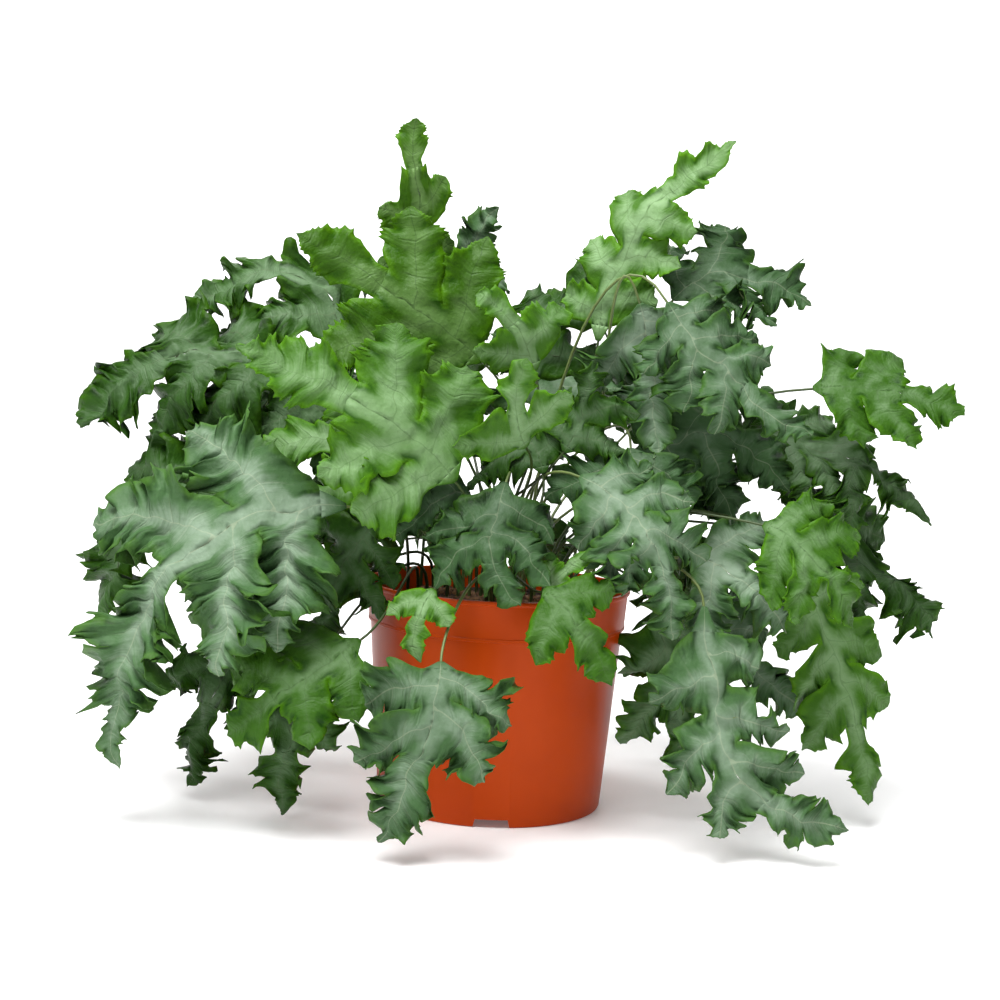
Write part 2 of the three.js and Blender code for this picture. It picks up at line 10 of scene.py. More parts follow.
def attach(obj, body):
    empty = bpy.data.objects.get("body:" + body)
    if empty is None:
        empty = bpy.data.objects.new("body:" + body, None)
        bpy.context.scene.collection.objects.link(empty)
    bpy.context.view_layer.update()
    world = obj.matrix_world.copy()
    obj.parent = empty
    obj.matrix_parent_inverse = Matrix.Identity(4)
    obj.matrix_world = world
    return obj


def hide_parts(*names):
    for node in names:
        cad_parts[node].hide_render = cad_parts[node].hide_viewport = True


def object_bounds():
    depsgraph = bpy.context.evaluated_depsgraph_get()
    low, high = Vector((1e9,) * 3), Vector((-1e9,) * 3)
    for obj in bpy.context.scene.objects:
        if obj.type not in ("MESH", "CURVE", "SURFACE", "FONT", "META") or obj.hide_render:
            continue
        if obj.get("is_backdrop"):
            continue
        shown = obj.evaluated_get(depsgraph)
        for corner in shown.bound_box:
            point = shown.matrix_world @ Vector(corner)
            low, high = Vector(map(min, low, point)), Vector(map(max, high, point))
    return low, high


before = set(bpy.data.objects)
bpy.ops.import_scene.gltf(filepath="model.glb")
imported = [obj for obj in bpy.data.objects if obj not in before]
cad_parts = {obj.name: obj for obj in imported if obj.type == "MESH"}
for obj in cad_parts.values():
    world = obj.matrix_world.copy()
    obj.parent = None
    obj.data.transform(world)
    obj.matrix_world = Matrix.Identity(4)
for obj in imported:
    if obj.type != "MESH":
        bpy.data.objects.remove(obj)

cad_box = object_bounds()

# Studio. A white floor that sweeps up behind the plant, a white room and broad soft lamps. The
# camera stands in front of the pot at the height of the crown, looks a little down and is held
# slightly out of level, as the one that took the photograph.

CAMERA_PLACE = (0, -1.42, 0.374)
CAMERA_LENS = 64.8
CAMERA_TURN = math.radians(0.07)
CAMERA_DIP = math.radians(5.35)
CAMERA_ROLL = math.radians(2.7)
FLOOR_WIDTH = 9
SWEEP_RADIUS = 1.6
WHITE = (0.95, 0.95, 0.95, 1)

bpy.ops.object.camera_add(location=CAMERA_PLACE)
camera = bpy.context.object
camera.data.lens = CAMERA_LENS
camera.data.sensor_width = 36
aim = Matrix.Rotation(CAMERA_TURN, 4, "Z") @ Matrix.Rotation(math.pi / 2 - CAMERA_DIP, 4, "X")
camera.rotation_euler = (aim @ Matrix.Rotation(CAMERA_ROLL, 4, "Z")).to_euler()
bpy.context.scene.camera = camera

bpy.context.scene.view_settings.view_transform = "Standard"
room = bpy.data.worlds.new("white_room")
room.use_nodes = True
room.node_tree.nodes["Background"].inputs["Color"].default_value = (1, 1, 1, 1)
room.node_tree.nodes["Background"].inputs["Strength"].default_value = 0.3
bpy.context.scene.world = room


def add_lamp(name, place, target, size, power):
    bpy.ops.object.light_add(type="AREA", location=place)
    lamp = bpy.context.object
    lamp.name = name
    lamp.data.shape = "DISK"
    lamp.data.size = size
    lamp.data.energy = power
    lamp.rotation_euler = (Vector(target) - Vector(place)).to_track_quat("-Z", "Y").to_euler()


add_lamp("lamp_above", (-0.4, -0.7, 2.4), (0, 0, 0.25), 1.6, 92)
add_lamp("lamp_front", (-1.2, -2.0, 1.3), (0, 0, 0.25), 1.2, 16)
add_lamp("lamp_backdrop", (0, 1.6, 3.2), (0, 4.5, 1.2), 2.5, 160)


def new_material(name):
    material = bpy.data.materials.new(name)
    material.use_nodes = True
    return material, material.node_tree.nodes, material.node_tree.links


bpy.ops.mesh.primitive_plane_add(size=FLOOR_WIDTH)
floor = bpy.context.object
floor.name = "floor"
bpy.ops.object.mode_set(mode="EDIT")
bpy.ops.mesh.select_mode(type="EDGE")
bpy.ops.mesh.select_all(action="DESELECT")
sheet = bmesh.from_edit_mesh(floor.data)
for edge in sheet.edges:
    edge.select = all(corner.co.y > 1 for corner in edge.verts)
bmesh.update_edit_mesh(floor.data)
bpy.ops.mesh.extrude_region_move(TRANSFORM_OT_translate={"value": (0, 0, FLOOR_WIDTH / 2)})
bpy.ops.object.mode_set(mode="OBJECT")
sweep = floor.modifiers.new("sweep", "BEVEL")
sweep.width = SWEEP_RADIUS
sweep.segments = 24
bpy.ops.object.modifier_apply(modifier="sweep")
bpy.ops.object.shade_smooth()
floor_white, nodes, _ = new_material("floor_white")
paint = nodes["Principled BSDF"]
paint.inputs["Base Color"].default_value = WHITE
paint.inputs["Roughness"].default_value = 0.6
paint.inputs["Emission Color"].default_value = WHITE
paint.inputs["Emission Strength"].default_value = 0.1
floor.data.materials.append(floor_white)
floor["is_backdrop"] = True

# Pot. A nursery container, injection-moulded in satin terracotta-coloured plastic: a thin tapered
# wall with a collar and a rolled lip, and four drain channels with a hole each in its foot. Its
# outline is pulled up ring by ring from a disc, over the lip and down again inside.

RIM_RADIUS = 0.105
POT_HEIGHT = 0.175
LIP_HEIGHT = 0.0035
COLLAR_DEPTH = 0.031
COLLAR_RADIUS = 0.102
COLLAR_TOP_RADIUS = 0.1036
BODY_TOP_RADIUS = 0.1002
FOOT_RADIUS = 0.089
FOOT_EDGE = 0.002
WALL = 0.0018
FLOOR_THICKNESS = 0.0024
CHANNEL_TURN = math.radians(2)
CHANNEL_HEIGHT = 0.0065
CHANNEL_TOP_WIDTH = 0.025
CHANNEL_FOOT_WIDTH = 0.031
CHANNEL_START = 0.06
CHANNEL_END = 0.1
DRAIN_RADIUS = 0.0045
DRAIN_PLACE = 0.068
BEAD = 0.0011
EDGE = 0.0004

ledge = POT_HEIGHT - COLLAR_DEPTH
under_lip = POT_HEIGHT - LIP_HEIGHT
inner_floor = CHANNEL_HEIGHT + FLOOR_THICKNESS
taper = (BODY_TOP_RADIUS - FOOT_RADIUS) / ledge
POT_OUTLINE = [
    (FOOT_RADIUS - FOOT_EDGE / 3, FOOT_EDGE / 3),
    (FOOT_RADIUS, FOOT_EDGE),
    (BODY_TOP_RADIUS - EDGE / 2, ledge - 3 * EDGE),
    (BODY_TOP_RADIUS, ledge - EDGE),
    (COLLAR_RADIUS - EDGE, ledge),
    (COLLAR_RADIUS, ledge + EDGE),
    (COLLAR_RADIUS, ledge + 2 * BEAD),
    (COLLAR_RADIUS - 1.25 * EDGE, ledge + 2.5 * BEAD),
    (COLLAR_TOP_RADIUS - EDGE, under_lip - EDGE),
    (RIM_RADIUS - 1.5 * EDGE, under_lip),
    (RIM_RADIUS, under_lip + BEAD),
    (RIM_RADIUS, POT_HEIGHT - BEAD),
    (RIM_RADIUS - EDGE, POT_HEIGHT - 0.75 * EDGE),
    (RIM_RADIUS - BEAD, POT_HEIGHT),
    (COLLAR_TOP_RADIUS - WALL + 1.5 * EDGE, POT_HEIGHT),
    (COLLAR_TOP_RADIUS - WALL, POT_HEIGHT - 1.5 * EDGE),
    (COLLAR_RADIUS - WALL, ledge + WALL),
    (BODY_TOP_RADIUS - WALL, ledge),
    (FOOT_RADIUS + taper * inner_floor - WALL, inner_floor),
]


def turned_solid(name, foot_radius, outline, sides):
    """A closed solid of revolution that stands on the plane z = 0."""
    bpy.ops.mesh.primitive_circle_add(vertices=sides, radius=foot_radius, fill_type="NGON")
    solid = bpy.context.object
    solid.name = name
    bpy.ops.object.mode_set(mode="EDIT")
    bpy.ops.mesh.select_all(action="SELECT")
    last_radius, last_height = foot_radius, 0
    for radius, height in outline:
        rise = (0, 0, height - last_height)
        bpy.ops.mesh.extrude_region_move(TRANSFORM_OT_translate={"value": rise})
        scale = radius / last_radius
        bpy.ops.transform.resize(value=(scale, scale, 1), center_override=(0, 0, height))
        last_radius, last_height = radius, height
    bpy.ops.mesh.select_all(action="SELECT")
    bpy.ops.mesh.normals_make_consistent(inside=False)
    bpy.ops.object.mode_set(mode="OBJECT")
    return solid


def choose(thing):
    """Makes an object the active one and the only one that is selected."""
    bpy.ops.object.select_all(action="DESELECT")
    thing.select_set(True)
    bpy.context.view_layer.objects.active = thing


def cut_away(solid, cutter):
    cut = solid.modifiers.new("cut", "BOOLEAN")
    cut.object = cutter
    cut.operation = "DIFFERENCE"
    cut.solver = "EXACT"
    bpy.context.view_layer.objects.active = solid
    bpy.ops.object.modifier_apply(modifier="cut")
    bpy.data.objects.remove(cutter)


pot = turned_solid("container", FOOT_RADIUS - FOOT_EDGE, POT_OUTLINE, 128)
for k in range(4):
    turn = CHANNEL_TURN + k * math.pi / 2
    length = CHANNEL_END - CHANNEL_START
    bpy.ops.mesh.primitive_cube_add(size=1)
    channel = bpy.context.object
    bpy.ops.object.mode_set(mode="EDIT")
    bpy.ops.transform.resize(value=(CHANNEL_FOOT_WIDTH, length, 2 * CHANNEL_HEIGHT))
    bpy.ops.mesh.select_mode(type="FACE")
    block = bmesh.from_edit_mesh(channel.data)
    for face in block.faces:
        face.select_set(face.normal.z > 0.9)
    bmesh.update_edit_mesh(channel.data)
    bpy.ops.transform.resize(value=(CHANNEL_TOP_WIDTH / CHANNEL_FOOT_WIDTH, 1, 1))
    bpy.ops.mesh.select_all(action="SELECT")
    bpy.ops.transform.translate(value=(0, -(CHANNEL_START + length / 2), 0))
    bpy.ops.object.mode_set(mode="OBJECT")
    channel.data.transform(Matrix.Rotation(turn, 4, "Z"))
    cut_away(pot, channel)
    bpy.ops.mesh.primitive_cylinder_add(vertices=24, radius=DRAIN_RADIUS, depth=0.05)
    drain = bpy.context.object
    drain.data.transform(Matrix.Rotation(turn, 4, "Z") @ Matrix.Translation((0, -DRAIN_PLACE, 0)))
    cut_away(pot, drain)
choose(pot)
bpy.ops.object.shade_smooth_by_angle(angle=math.radians(35))


def from_screen(red, green, blue):
    """A colour that is given as 0 to 255 on a screen, for a shader."""
    return tuple((value / 255) ** 2.2 for value in (red, green, blue)) + (1,)


def object_place(nodes):
    return nodes.new("ShaderNodeTexCoord").outputs["Object"]


def add_noise(nodes, links, vector, scale, detail):
    texture = nodes.new("ShaderNodeTexNoise")
    texture.inputs["Scale"].default_value = scale
    texture.inputs["Detail"].default_value = detail
    links.new(vector, texture.inputs["Vector"])
    return texture.outputs["Fac"]


def feed(links, value, socket):
    """Links a value to a socket, or sets the socket where the value is a constant."""
    if isinstance(value, bpy.types.NodeSocket):
        links.new(value, socket)
    else:
        socket.default_value = value


def add_blend(nodes, links, share, first, second, mode="MIX"):
    mix = nodes.new("ShaderNodeMix")
    mix.data_type = "RGBA"
    mix.blend_type = mode
    links.new(share, mix.inputs["Factor"])
    feed(links, first, mix.inputs["A"])
    feed(links, second, mix.inputs["B"])
    return mix.outputs["Result"]


def add_relief(nodes, links, height, strength, depth):
    """Roughens the surface of a material where its height changes."""
    bump = nodes.new("ShaderNodeBump")
    bump.inputs["Strength"].default_value = strength
    bump.inputs["Distance"].default_value = depth
    links.new(height, bump.inputs["Height"])
    links.new(bump.outputs["Normal"], nodes["Principled BSDF"].inputs["Normal"])


terracotta, nodes, links = new_material("terracotta_plastic")
plastic = nodes["Principled BSDF"]
plastic.inputs["Specular IOR Level"].default_value = 0.12
place = object_place(nodes)
along_mould = nodes.new("ShaderNodeMapping")
along_mould.inputs["Scale"].default_value = (1, 1, 0.06)
links.new(place, along_mould.inputs["Vector"])
cloud = add_noise(nodes, links, place, 14, 3)
shade = add_blend(nodes, links, cloud, from_screen(170, 58, 4), from_screen(194, 72, 8))
links.new(shade, plastic.inputs["Base Color"])
gloss = nodes.new("ShaderNodeMapRange")
gloss.inputs["To Min"].default_value = 0.3
gloss.inputs["To Max"].default_value = 0.46
links.new(add_noise(nodes, links, along_mould.outputs["Vector"], 70, 4), gloss.inputs["Value"])
links.new(gloss.outputs["Result"], plastic.inputs["Roughness"])
add_relief(nodes, links, add_noise(nodes, links, place, 900, 2), 0.12, 0.0004)
pot.data.materials.append(terracotta)
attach(pot, "root")
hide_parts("pot")

# Soil. Damp, dark peat fills the pot to two centimetres under its rim, crumbly on top, with loose
# lumps between the stalks. A fine grid is cut round, roughened and pulled down to the floor of the
# pot, and the lumps are sunk into it.

SOIL_EDGE_HEIGHT = 0.155
SOIL_CROWN = 0.004
SOIL_STEPS = 100
SOIL_GAP = 0.0004
CRUMB_HEIGHT = 0.0016
LUMPS = 700
LEAST_LUMP = 0.0008
MOST_LUMP = 0.003

flare = (COLLAR_TOP_RADIUS - COLLAR_RADIUS) / (COLLAR_DEPTH - WALL)
soil_radius = COLLAR_RADIUS - WALL - SOIL_GAP + flare * (SOIL_EDGE_HEIGHT - ledge - WALL)
soil_foot = FOOT_RADIUS + taper * inner_floor - WALL - SOIL_GAP


def partway(start, end, share):
    return start + (end - start) * share


def soil_height(x, y):
    crown = SOIL_CROWN * (1 - math.hypot(x, y) / RIM_RADIUS)
    crumbs = CRUMB_HEIGHT * noise.fractal(Vector((x, y, 0)) * 130, 0.6, 2, 5)
    return SOIL_EDGE_HEIGHT + crown + crumbs


def jitter(place):
    """A push in a smoothly changing random direction."""
    return Vector([noise.noise(place + Vector((0, 0, shift))) for shift in (0, 31.4, 57.2)])


bpy.ops.mesh.primitive_grid_add(
    x_subdivisions=SOIL_STEPS, y_subdivisions=SOIL_STEPS, size=2 * soil_radius
)
soil = bpy.context.object
soil.name = "peat"
bpy.ops.object.mode_set(mode="EDIT")
bed = bmesh.from_edit_mesh(soil.data)
outside = [face for face in bed.faces if face.calc_center_median().length > soil_radius]
bmesh.ops.delete(bed, geom=outside, context="FACES")
for corner in bed.verts:
    radius = corner.co.length
    if corner.is_boundary or radius > soil_radius:
        corner.co *= soil_radius / radius
    corner.co.z = soil_height(corner.co.x, corner.co.y)
bmesh.update_edit_mesh(soil.data)
bpy.ops.mesh.select_mode(type="EDGE")
bpy.ops.mesh.select_all(action="DESELECT")
bpy.ops.mesh.select_non_manifold()
bpy.ops.mesh.extrude_region_move()
shrink = soil_foot / soil_radius
bpy.ops.transform.resize(value=(shrink, shrink, 0), center_override=(0, 0, inner_floor + SOIL_GAP))
bpy.ops.mesh.edge_face_add()
bpy.ops.mesh.select_all(action="SELECT")
bpy.ops.mesh.normals_make_consistent(inside=False)
bpy.ops.object.mode_set(mode="OBJECT")

chance = random.Random(7)
heap = bmesh.new()
heap.from_mesh(soil.data)
for lump in range(LUMPS):
    radius = (soil_radius - 0.004) * math.sqrt(chance.random())
    azimuth = chance.uniform(0, 2 * math.pi)
    x, y = radius * math.cos(azimuth), radius * math.sin(azimuth)
    size = partway(LEAST_LUMP, MOST_LUMP, chance.random() ** 3)
    spot = Matrix.Translation((x, y, soil_height(x, y) + 0.3 * size))
    turned_spot = spot @ Matrix.Rotation(chance.uniform(0, math.pi), 4, "Z")
    stretch = Matrix.Diagonal((size * chance.uniform(1, 2), size, size * chance.uniform(0.6, 1), 1))
    made = bmesh.ops.create_icosphere(heap, subdivisions=1, radius=1, matrix=turned_spot @ stretch)
    for corner in made["verts"]:
        corner.co += jitter(corner.co * 900) * 0.25 * size
heap.to_mesh(soil.data)
heap.free()


def crumbly_material(name, scale, detail, stops, roughness, strength, depth):
    """A matt, speckled material. The stops are levels of its noise, each with a colour."""
    material, nodes, links = new_material(name)
    speck = add_noise(nodes, links, object_place(nodes), scale, detail)
    ramp = nodes.new("ShaderNodeValToRGB")
    for k, (position, color) in enumerate(stops):
        stop = ramp.color_ramp.elements[k] if k < 2 else ramp.color_ramp.elements.new(position)
        stop.position = position
        stop.color = from_screen(*color)
    links.new(speck, ramp.inputs["Fac"])
    links.new(ramp.outputs["Color"], nodes["Principled BSDF"].inputs["Base Color"])
    nodes["Principled BSDF"].inputs["Roughness"].default_value = roughness
    add_relief(nodes, links, speck, strength, depth)
    return material


peat = crumbly_material(
    "dark_peat", scale=420, detail=5, roughness=0.9, strength=0.7, depth=0.0008,
    stops=((0.35, (14, 10, 8)), (0.7, (46, 33, 22)), (0.86, (88, 66, 44))),
)
soil.data.materials.append(peat)
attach(soil, "root")
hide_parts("soil")

# Rhizome. Six arms of a finger-thick creeping stem lie half sunk in the peat, under a dense coat of
# golden-brown papery scales and hairs. The arms are swept tubes, and the hairs are thin spikes that
# lean towards the growing tip.

ARMS = 6
ARM_TURN = math.radians(20)
ARM_LENGTH = 0.082
ARM_RADIUS = 0.007
ARM_TIP_RADIUS = 0.005
ARM_HEIGHT = SOIL_EDGE_HEIGHT + 0.003
FIRST_FOOT = 0.014
FOOT_SPACING = 0.0092
SOCKET_DEPTH = 0.006
HAIRS = 620
HAIR_LENGTHS = (0.0014, 0.0034)
HAIR_WIDTHS = (0.0002, 0.00045)


def arm_point(arm, radius):
    azimuth = ARM_TURN + 2 * math.pi * arm / ARMS + 0.12 * math.sin(radius / 0.016 + arm)
    return Vector((radius * math.cos(azimuth), radius * math.sin(azimuth), ARM_HEIGHT))


def arm_radius(radius):
    return partway(ARM_RADIUS, ARM_TIP_RADIUS, radius / ARM_LENGTH)


def foot_of(arm, place):
    radius = FIRST_FOOT + FOOT_SPACING * place
    return arm_point(arm, radius) + Vector((0, 0, arm_radius(radius) - SOCKET_DEPTH))


def swept_tubes(name, runs, resolution):
    """One mesh of round tubes. A run is a list of points and a list of their radii."""
    curve = bpy.data.curves.new(name, "CURVE")
    curve.dimensions = "3D"
    curve.bevel_depth = 1
    curve.bevel_resolution = resolution
    curve.use_fill_caps = True
    for points, radii in runs:
        spline = curve.splines.new("POLY")
        spline.points.add(len(points) - 1)
        for knot, point, radius in zip(spline.points, points, radii):
            knot.co = (*point, 1)
            knot.radius = radius
    tubes = bpy.data.objects.new(name, curve)
    bpy.context.collection.objects.link(tubes)
    choose(tubes)
    bpy.ops.object.convert(target="MESH")
    return bpy.context.object


arm_runs = []
for arm in range(ARMS):
    stops = [ARM_LENGTH * k / 40 for k in range(41)]
    radii = [arm_radius(stop) + 0.0006 * noise.noise(Vector((stop * 160, arm, 0))) for stop in stops]
    radii[-3:] = [radii[-3] * share for share in (0.95, 0.75, 0.35)]
    arm_runs.append(([arm_point(arm, stop) for stop in stops], radii))
rhizome = swept_tubes("creeping_stem", arm_runs, 4)
coat = bmesh.new()
coat.from_mesh(rhizome.data)
for arm in range(ARMS):
    for hair in range(HAIRS):
        stop = ARM_LENGTH * chance.uniform(0.04, 0.99)
        centre = arm_point(arm, stop)
        forward = (arm_point(arm, stop + 0.001) - centre).normalized()
        side = forward.cross(Vector((0, 0, 1)))
        lean = chance.uniform(-1.5, 1.5)
        outward = Vector((0, 0, math.cos(lean))) + side * math.sin(lean)
        root = centre + outward * (arm_radius(stop) - 0.0004)
        slant = chance.uniform(0.2, 0.9)
        reach = (outward + forward * slant + side * chance.uniform(-0.4, 0.4)).normalized()
        tip = coat.verts.new(root + reach * chance.uniform(*HAIR_LENGTHS))
        width = chance.uniform(*HAIR_WIDTHS)
        left = coat.verts.new(root + side * width)
        right = coat.verts.new(root - side * width)
        back = coat.verts.new(root - forward * width)
        for corners in ((left, right, tip), (right, back, tip), (back, left, tip), (left, back, right)):
            coat.faces.new(corners)
bmesh.ops.recalc_face_normals(coat, faces=coat.faces)
coat.to_mesh(rhizome.data)
coat.free()

scales = crumbly_material(
    "golden_scales", scale=500, detail=4, roughness=0.75, strength=0.6, depth=0.0005,
    stops=((0.3, (48, 31, 16)), (0.7, (122, 84, 44))),
)
rhizome.data.materials.append(scales)
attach(rhizome, "root")
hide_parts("rhizome")

# Fronds. Each one is a wiry stalk that runs on as the rib of a leathery blade, cut into side lobes
# and an end lobe, which are cut again into lobules with a toothed, waved margin. A waxy bloom whitens
# the blade along its ribs. The blades are sheets laid along curved ribs and then given a thickness.

BLADE = 0.0006
BARE_SHARE = 0.06
BASE_HALF_WIDTH = 0.002
CUT_DEPTH = 0.019
LOBE_BASE = 0.3
BLUNTNESS = 0.42
BASE_LOBE_ANGLE = 76
TIP_LOBE_ANGLE = 46
BROAD_FOLDS = 26
SMALL_FOLDS = 85
WIDTH_OF_LOBE = 0.5
MOST_HALF_WIDTH = 0.04
WING_OF_WIDTH = 0.42
STIPE_RADIUS = 0.0014
STIPE_TOP_RADIUS = 0.001
STIPE_COLLAR = 0.008
STIPE_SINK = 0.001
VEIN_RADIUS = 0.0006
VEIN_TIP_RADIUS = 0.0001
VEIN_SINK = 0.0007
LEAST_RISE = 0.06
COLUMNS = 6
ACROSS = [k / COLUMNS for k in range(-COLUMNS, COLUMNS + 1)]
ROWS_PER_TOOTH = 6
STRIP_ROWS = 4
STIPE_STEPS = 17
RIB_STEPS = 60
RIB_SHARE = 0.97
VEIN_STEPS = 40
BLOOM_WIDTH = 0.5
BLOOM_REACH = 0.017
UP = Vector((0, 0, 1))


@dataclass(frozen=True)
class Look:
    """How a kind of blade is cut and curled, as shares of a lobe's width or length."""

    slot: str
    breadth: float  # of a lobe, as a share of the room that it has on the rib
    wing: float  # breadth of the blade beside the rib that isn't cut, in metres
    web: float  # share of a lobe that is grown together with its neighbours
    lean: float  # of the fingers, towards the tip of the lobe
    finger: float  # length that a finger takes along the lobe, in metres
    cut: float  # depth of the cuts between fingers
    teeth: int  # on one finger
    tooth: float  # depth of the teeth
    cup: float  # how far the sides of a lobe bend down
    ruffle: float  # height of the long waves
    roll: float  # turn of a side lobe about its rib, in degrees
    frill: float  # height of the short waves
    fold: float  # height of the ridge between two fingers
    crumple: float  # unevenness of the whole blade, in metres


FRESH = Look(
    slot="young", breadth=0.76, wing=0.014, web=0.26, lean=0.45, finger=0.024, cut=0.32, teeth=5,
    tooth=0.16, cup=0.04, ruffle=0.12, roll=8, frill=0.12, fold=-0.08, crumple=0.005,
)
YOUNG = Look(
    slot="young", breadth=0.76, wing=0.014, web=0.16, lean=0.45, finger=0.019, cut=0.46, teeth=4,
    tooth=0.15, cup=0.06, ruffle=0.2, roll=12, frill=0.26, fold=-0.12, crumple=0.006,
)
MATURE = Look(
    slot="mature", breadth=0.85, wing=0.012, web=0.05, lean=0.5, finger=0.0145, cut=0.74, teeth=3,
    tooth=0.15, cup=0.12, ruffle=0.26, roll=22, frill=0.44, fold=0.26, crumple=0.008,
)
CURLY = Look(
    slot="curly", breadth=0.84, wing=0.009, web=0.04, lean=0.5, finger=0.012, cut=0.64, teeth=2,
    tooth=0.2, cup=0.4, ruffle=0.26, roll=24, frill=0.44, fold=0.18, crumple=0.01,
)


class Bend:
    """The line of a rib: a quadratic Bezier curve."""

    def __init__(self, start, control, end):
        self.start, self.control, self.end = start, control, end

    def point(self, t):
        return self.start * (1 - t) ** 2 + self.control * (2 * t * (1 - t)) + self.end * t ** 2

    def direction(self, t):
        return ((self.control - self.start) * (1 - t) + (self.end - self.control) * t).normalized()

    def length(self):
        stops = [self.point(k / 60) for k in range(61)]
        return sum((b - a).length for a, b in zip(stops, stops[1:]))


def squared_to(direction, tangent):
    return (direction - tangent * direction.dot(tangent)).normalized()


def smooth_step(value, start, end):
    share = min(max((value - start) / (end - start), 0), 1)
    return share * share * (3 - 2 * share)


def wobble(seed, k):
    """A number from -1 to 1 that looks drawn at random."""
    value = math.sin(seed * 12.9898 + k * 78.233) * 43758.5453
    return 2 * (value - math.floor(value)) - 1


def bloom_at(from_rib, spread):
    return math.exp(-((from_rib / spread) ** 2))


@dataclass
class Lobe:
    """A lobe of a blade. The edge and the inner rows join it to the rib that carries it."""

    look: Look
    seed: int
    hand: int
    half_width: float
    bloom_width: float
    tone: float
    rib: Bend
    facing: Vector
    inner: list
    edge: list

    def bloom(self, s, phase, from_rib):
        between = smooth_step(s, 0, 0.2) * math.cos(2 * math.pi * phase)
        spread = self.bloom_width * (1 - 0.35 * between)
        return (1 - 0.35 * s) * bloom_at(from_rib, spread)


def crumpled(point, look, seed, start):
    """The point of an even blade where the real, uneven one has it."""
    grown = smooth_step((point - start).length, 0.005, 0.05)
    broad = jitter(point * BROAD_FOLDS + Vector((seed, 0, 0)))
    small = jitter(point * SMALL_FOLDS + Vector((0, seed, 0)))
    return point + (broad + 0.5 * small) * (look.crumple * grown)


def ripple(place, seed):
    """A wave of uneven length and height along a margin."""
    return 1.6 * noise.noise(Vector((place, 1.7 * seed, 0.5)))


def margin(look, cut, half, phase):
    """How far out a lobe reaches between its cuts and teeth, as a share of its width."""
    finger = abs(math.sin(math.pi * phase))
    notch = cut * (1 + 0.4 * wobble(half, round(phase))) * (1 - finger ** BLUNTNESS)
    notch -= 0.16 * wobble(half, math.floor(phase) + 50) * finger
    tooth = look.tooth * abs(math.sin(math.pi * look.teeth * phase)) ** 0.8
    return (1 - notch) * (1 - tooth)


def waves(look, seed, half, phase, u):
    """How high a lobe stands off its plane, as a share of its width."""
    lift = look.ruffle * u * u * math.sin(0.7 * math.pi * phase + 2 * u + seed)
    lift += look.frill * abs(u) ** 2 * ripple(1.3 * phase, half + 7)
    lift += look.frill * abs(u) ** 3 * ripple(4 * phase, half + 13)
    return lift + look.fold * abs(u) * math.cos(2 * math.pi * phase) - look.cup * u * u


def lobe_sheet(lobe):
    """Rows of points over a lobe, each with what the leaf material reads there."""
    look = lobe.look
    sheet = [list(row) for row in lobe.inner]
    fingers = max(2, round(lobe.rib.length() / look.finger))
    cut = min(look.cut, CUT_DEPTH / lobe.half_width)
    rows = fingers * look.teeth * ROWS_PER_TOOTH
    for i in range(rows + 1):
        s = i / rows
        spot = lobe.rib.point(s)
        tangent = lobe.rib.direction(s)
        normal = squared_to(lobe.facing, tangent)
        across = tangent.cross(normal) * lobe.hand
        outline = math.sin(math.pi * partway(LOBE_BASE, 1, s)) if s < 1 else 0
        settled = smooth_step(s, 0.5 * look.web, look.web + 0.25)
        middle, outward = lobe.edge[COLUMNS]
        off_rib = spot - middle - outward * s
        tone = lobe.tone * smooth_step(s, 0, 0.5)
        row = []
        for u, (root, outward) in zip(ACROSS, lobe.edge):
            half = lobe.seed + 31 * (u > 0)
            phase = fingers * s + 0.45 * abs(u) * ripple(0.8 * fingers * s, half)
            width = lobe.half_width * outline * margin(look, cut, half, phase)
            lift = waves(look, lobe.seed, half, phase, u)
            slide = look.lean * abs(u) + 0.5 * look.frill * abs(u) ** 3 * ripple(2.5 * phase, half + 90)
            side = (across * u + tangent * slide + normal * lift) * width
            joined = root + outward * s + off_rib * (1 - abs(u))
            point = joined.lerp(spot + side, settled)
            from_rib = (point - spot).length
            row.append((point, u, phase, from_rib, lobe.bloom(s, phase, from_rib), tone))
        sheet.append(row)
    return sheet


def lay_sheet(mesh, sheet, frond, hand, layers):
    """Adds a sheet to the blade, with its upper side up."""
    bloom, shade, blade_map, rib_map = layers
    grid = []
    for row in sheet:
        grid.append([])
        for point, _, _, _, glow, tone in row:
            corner = mesh.verts.new(crumpled(point, frond.look, frond.seed, frond.start))
            corner[bloom] = glow
            # The tint of a corner: the frond's tone, which on some blades is painted shade, and a little
            # random tone from lobe to lobe.
            corner[shade] = frond.tone + tone
            grid[-1].append(corner)
    for i in range(len(grid) - 1):
        for j in range(len(grid[0]) - 1):
            spots = [(i, j), (i, j + 1), (i + 1, j + 1), (i + 1, j)]
            if hand < 0:
                spots.reverse()
            face = mesh.faces.new([grid[a][b] for a, b in spots])
            face.smooth = True
            for loop, (a, b) in zip(face.loops, spots):
                _, u, phase, from_rib, _, _ = sheet[a][b]
                loop[blade_map].uv = (u, phase)
                loop[rib_map].uv = (from_rib * 1000, phase)


def lobe_angle(place):
    """How far a side lobe leans off the rib that carries it, in degrees."""
    return partway(BASE_LOBE_ANGLE, TIP_LOBE_ANGLE, place)


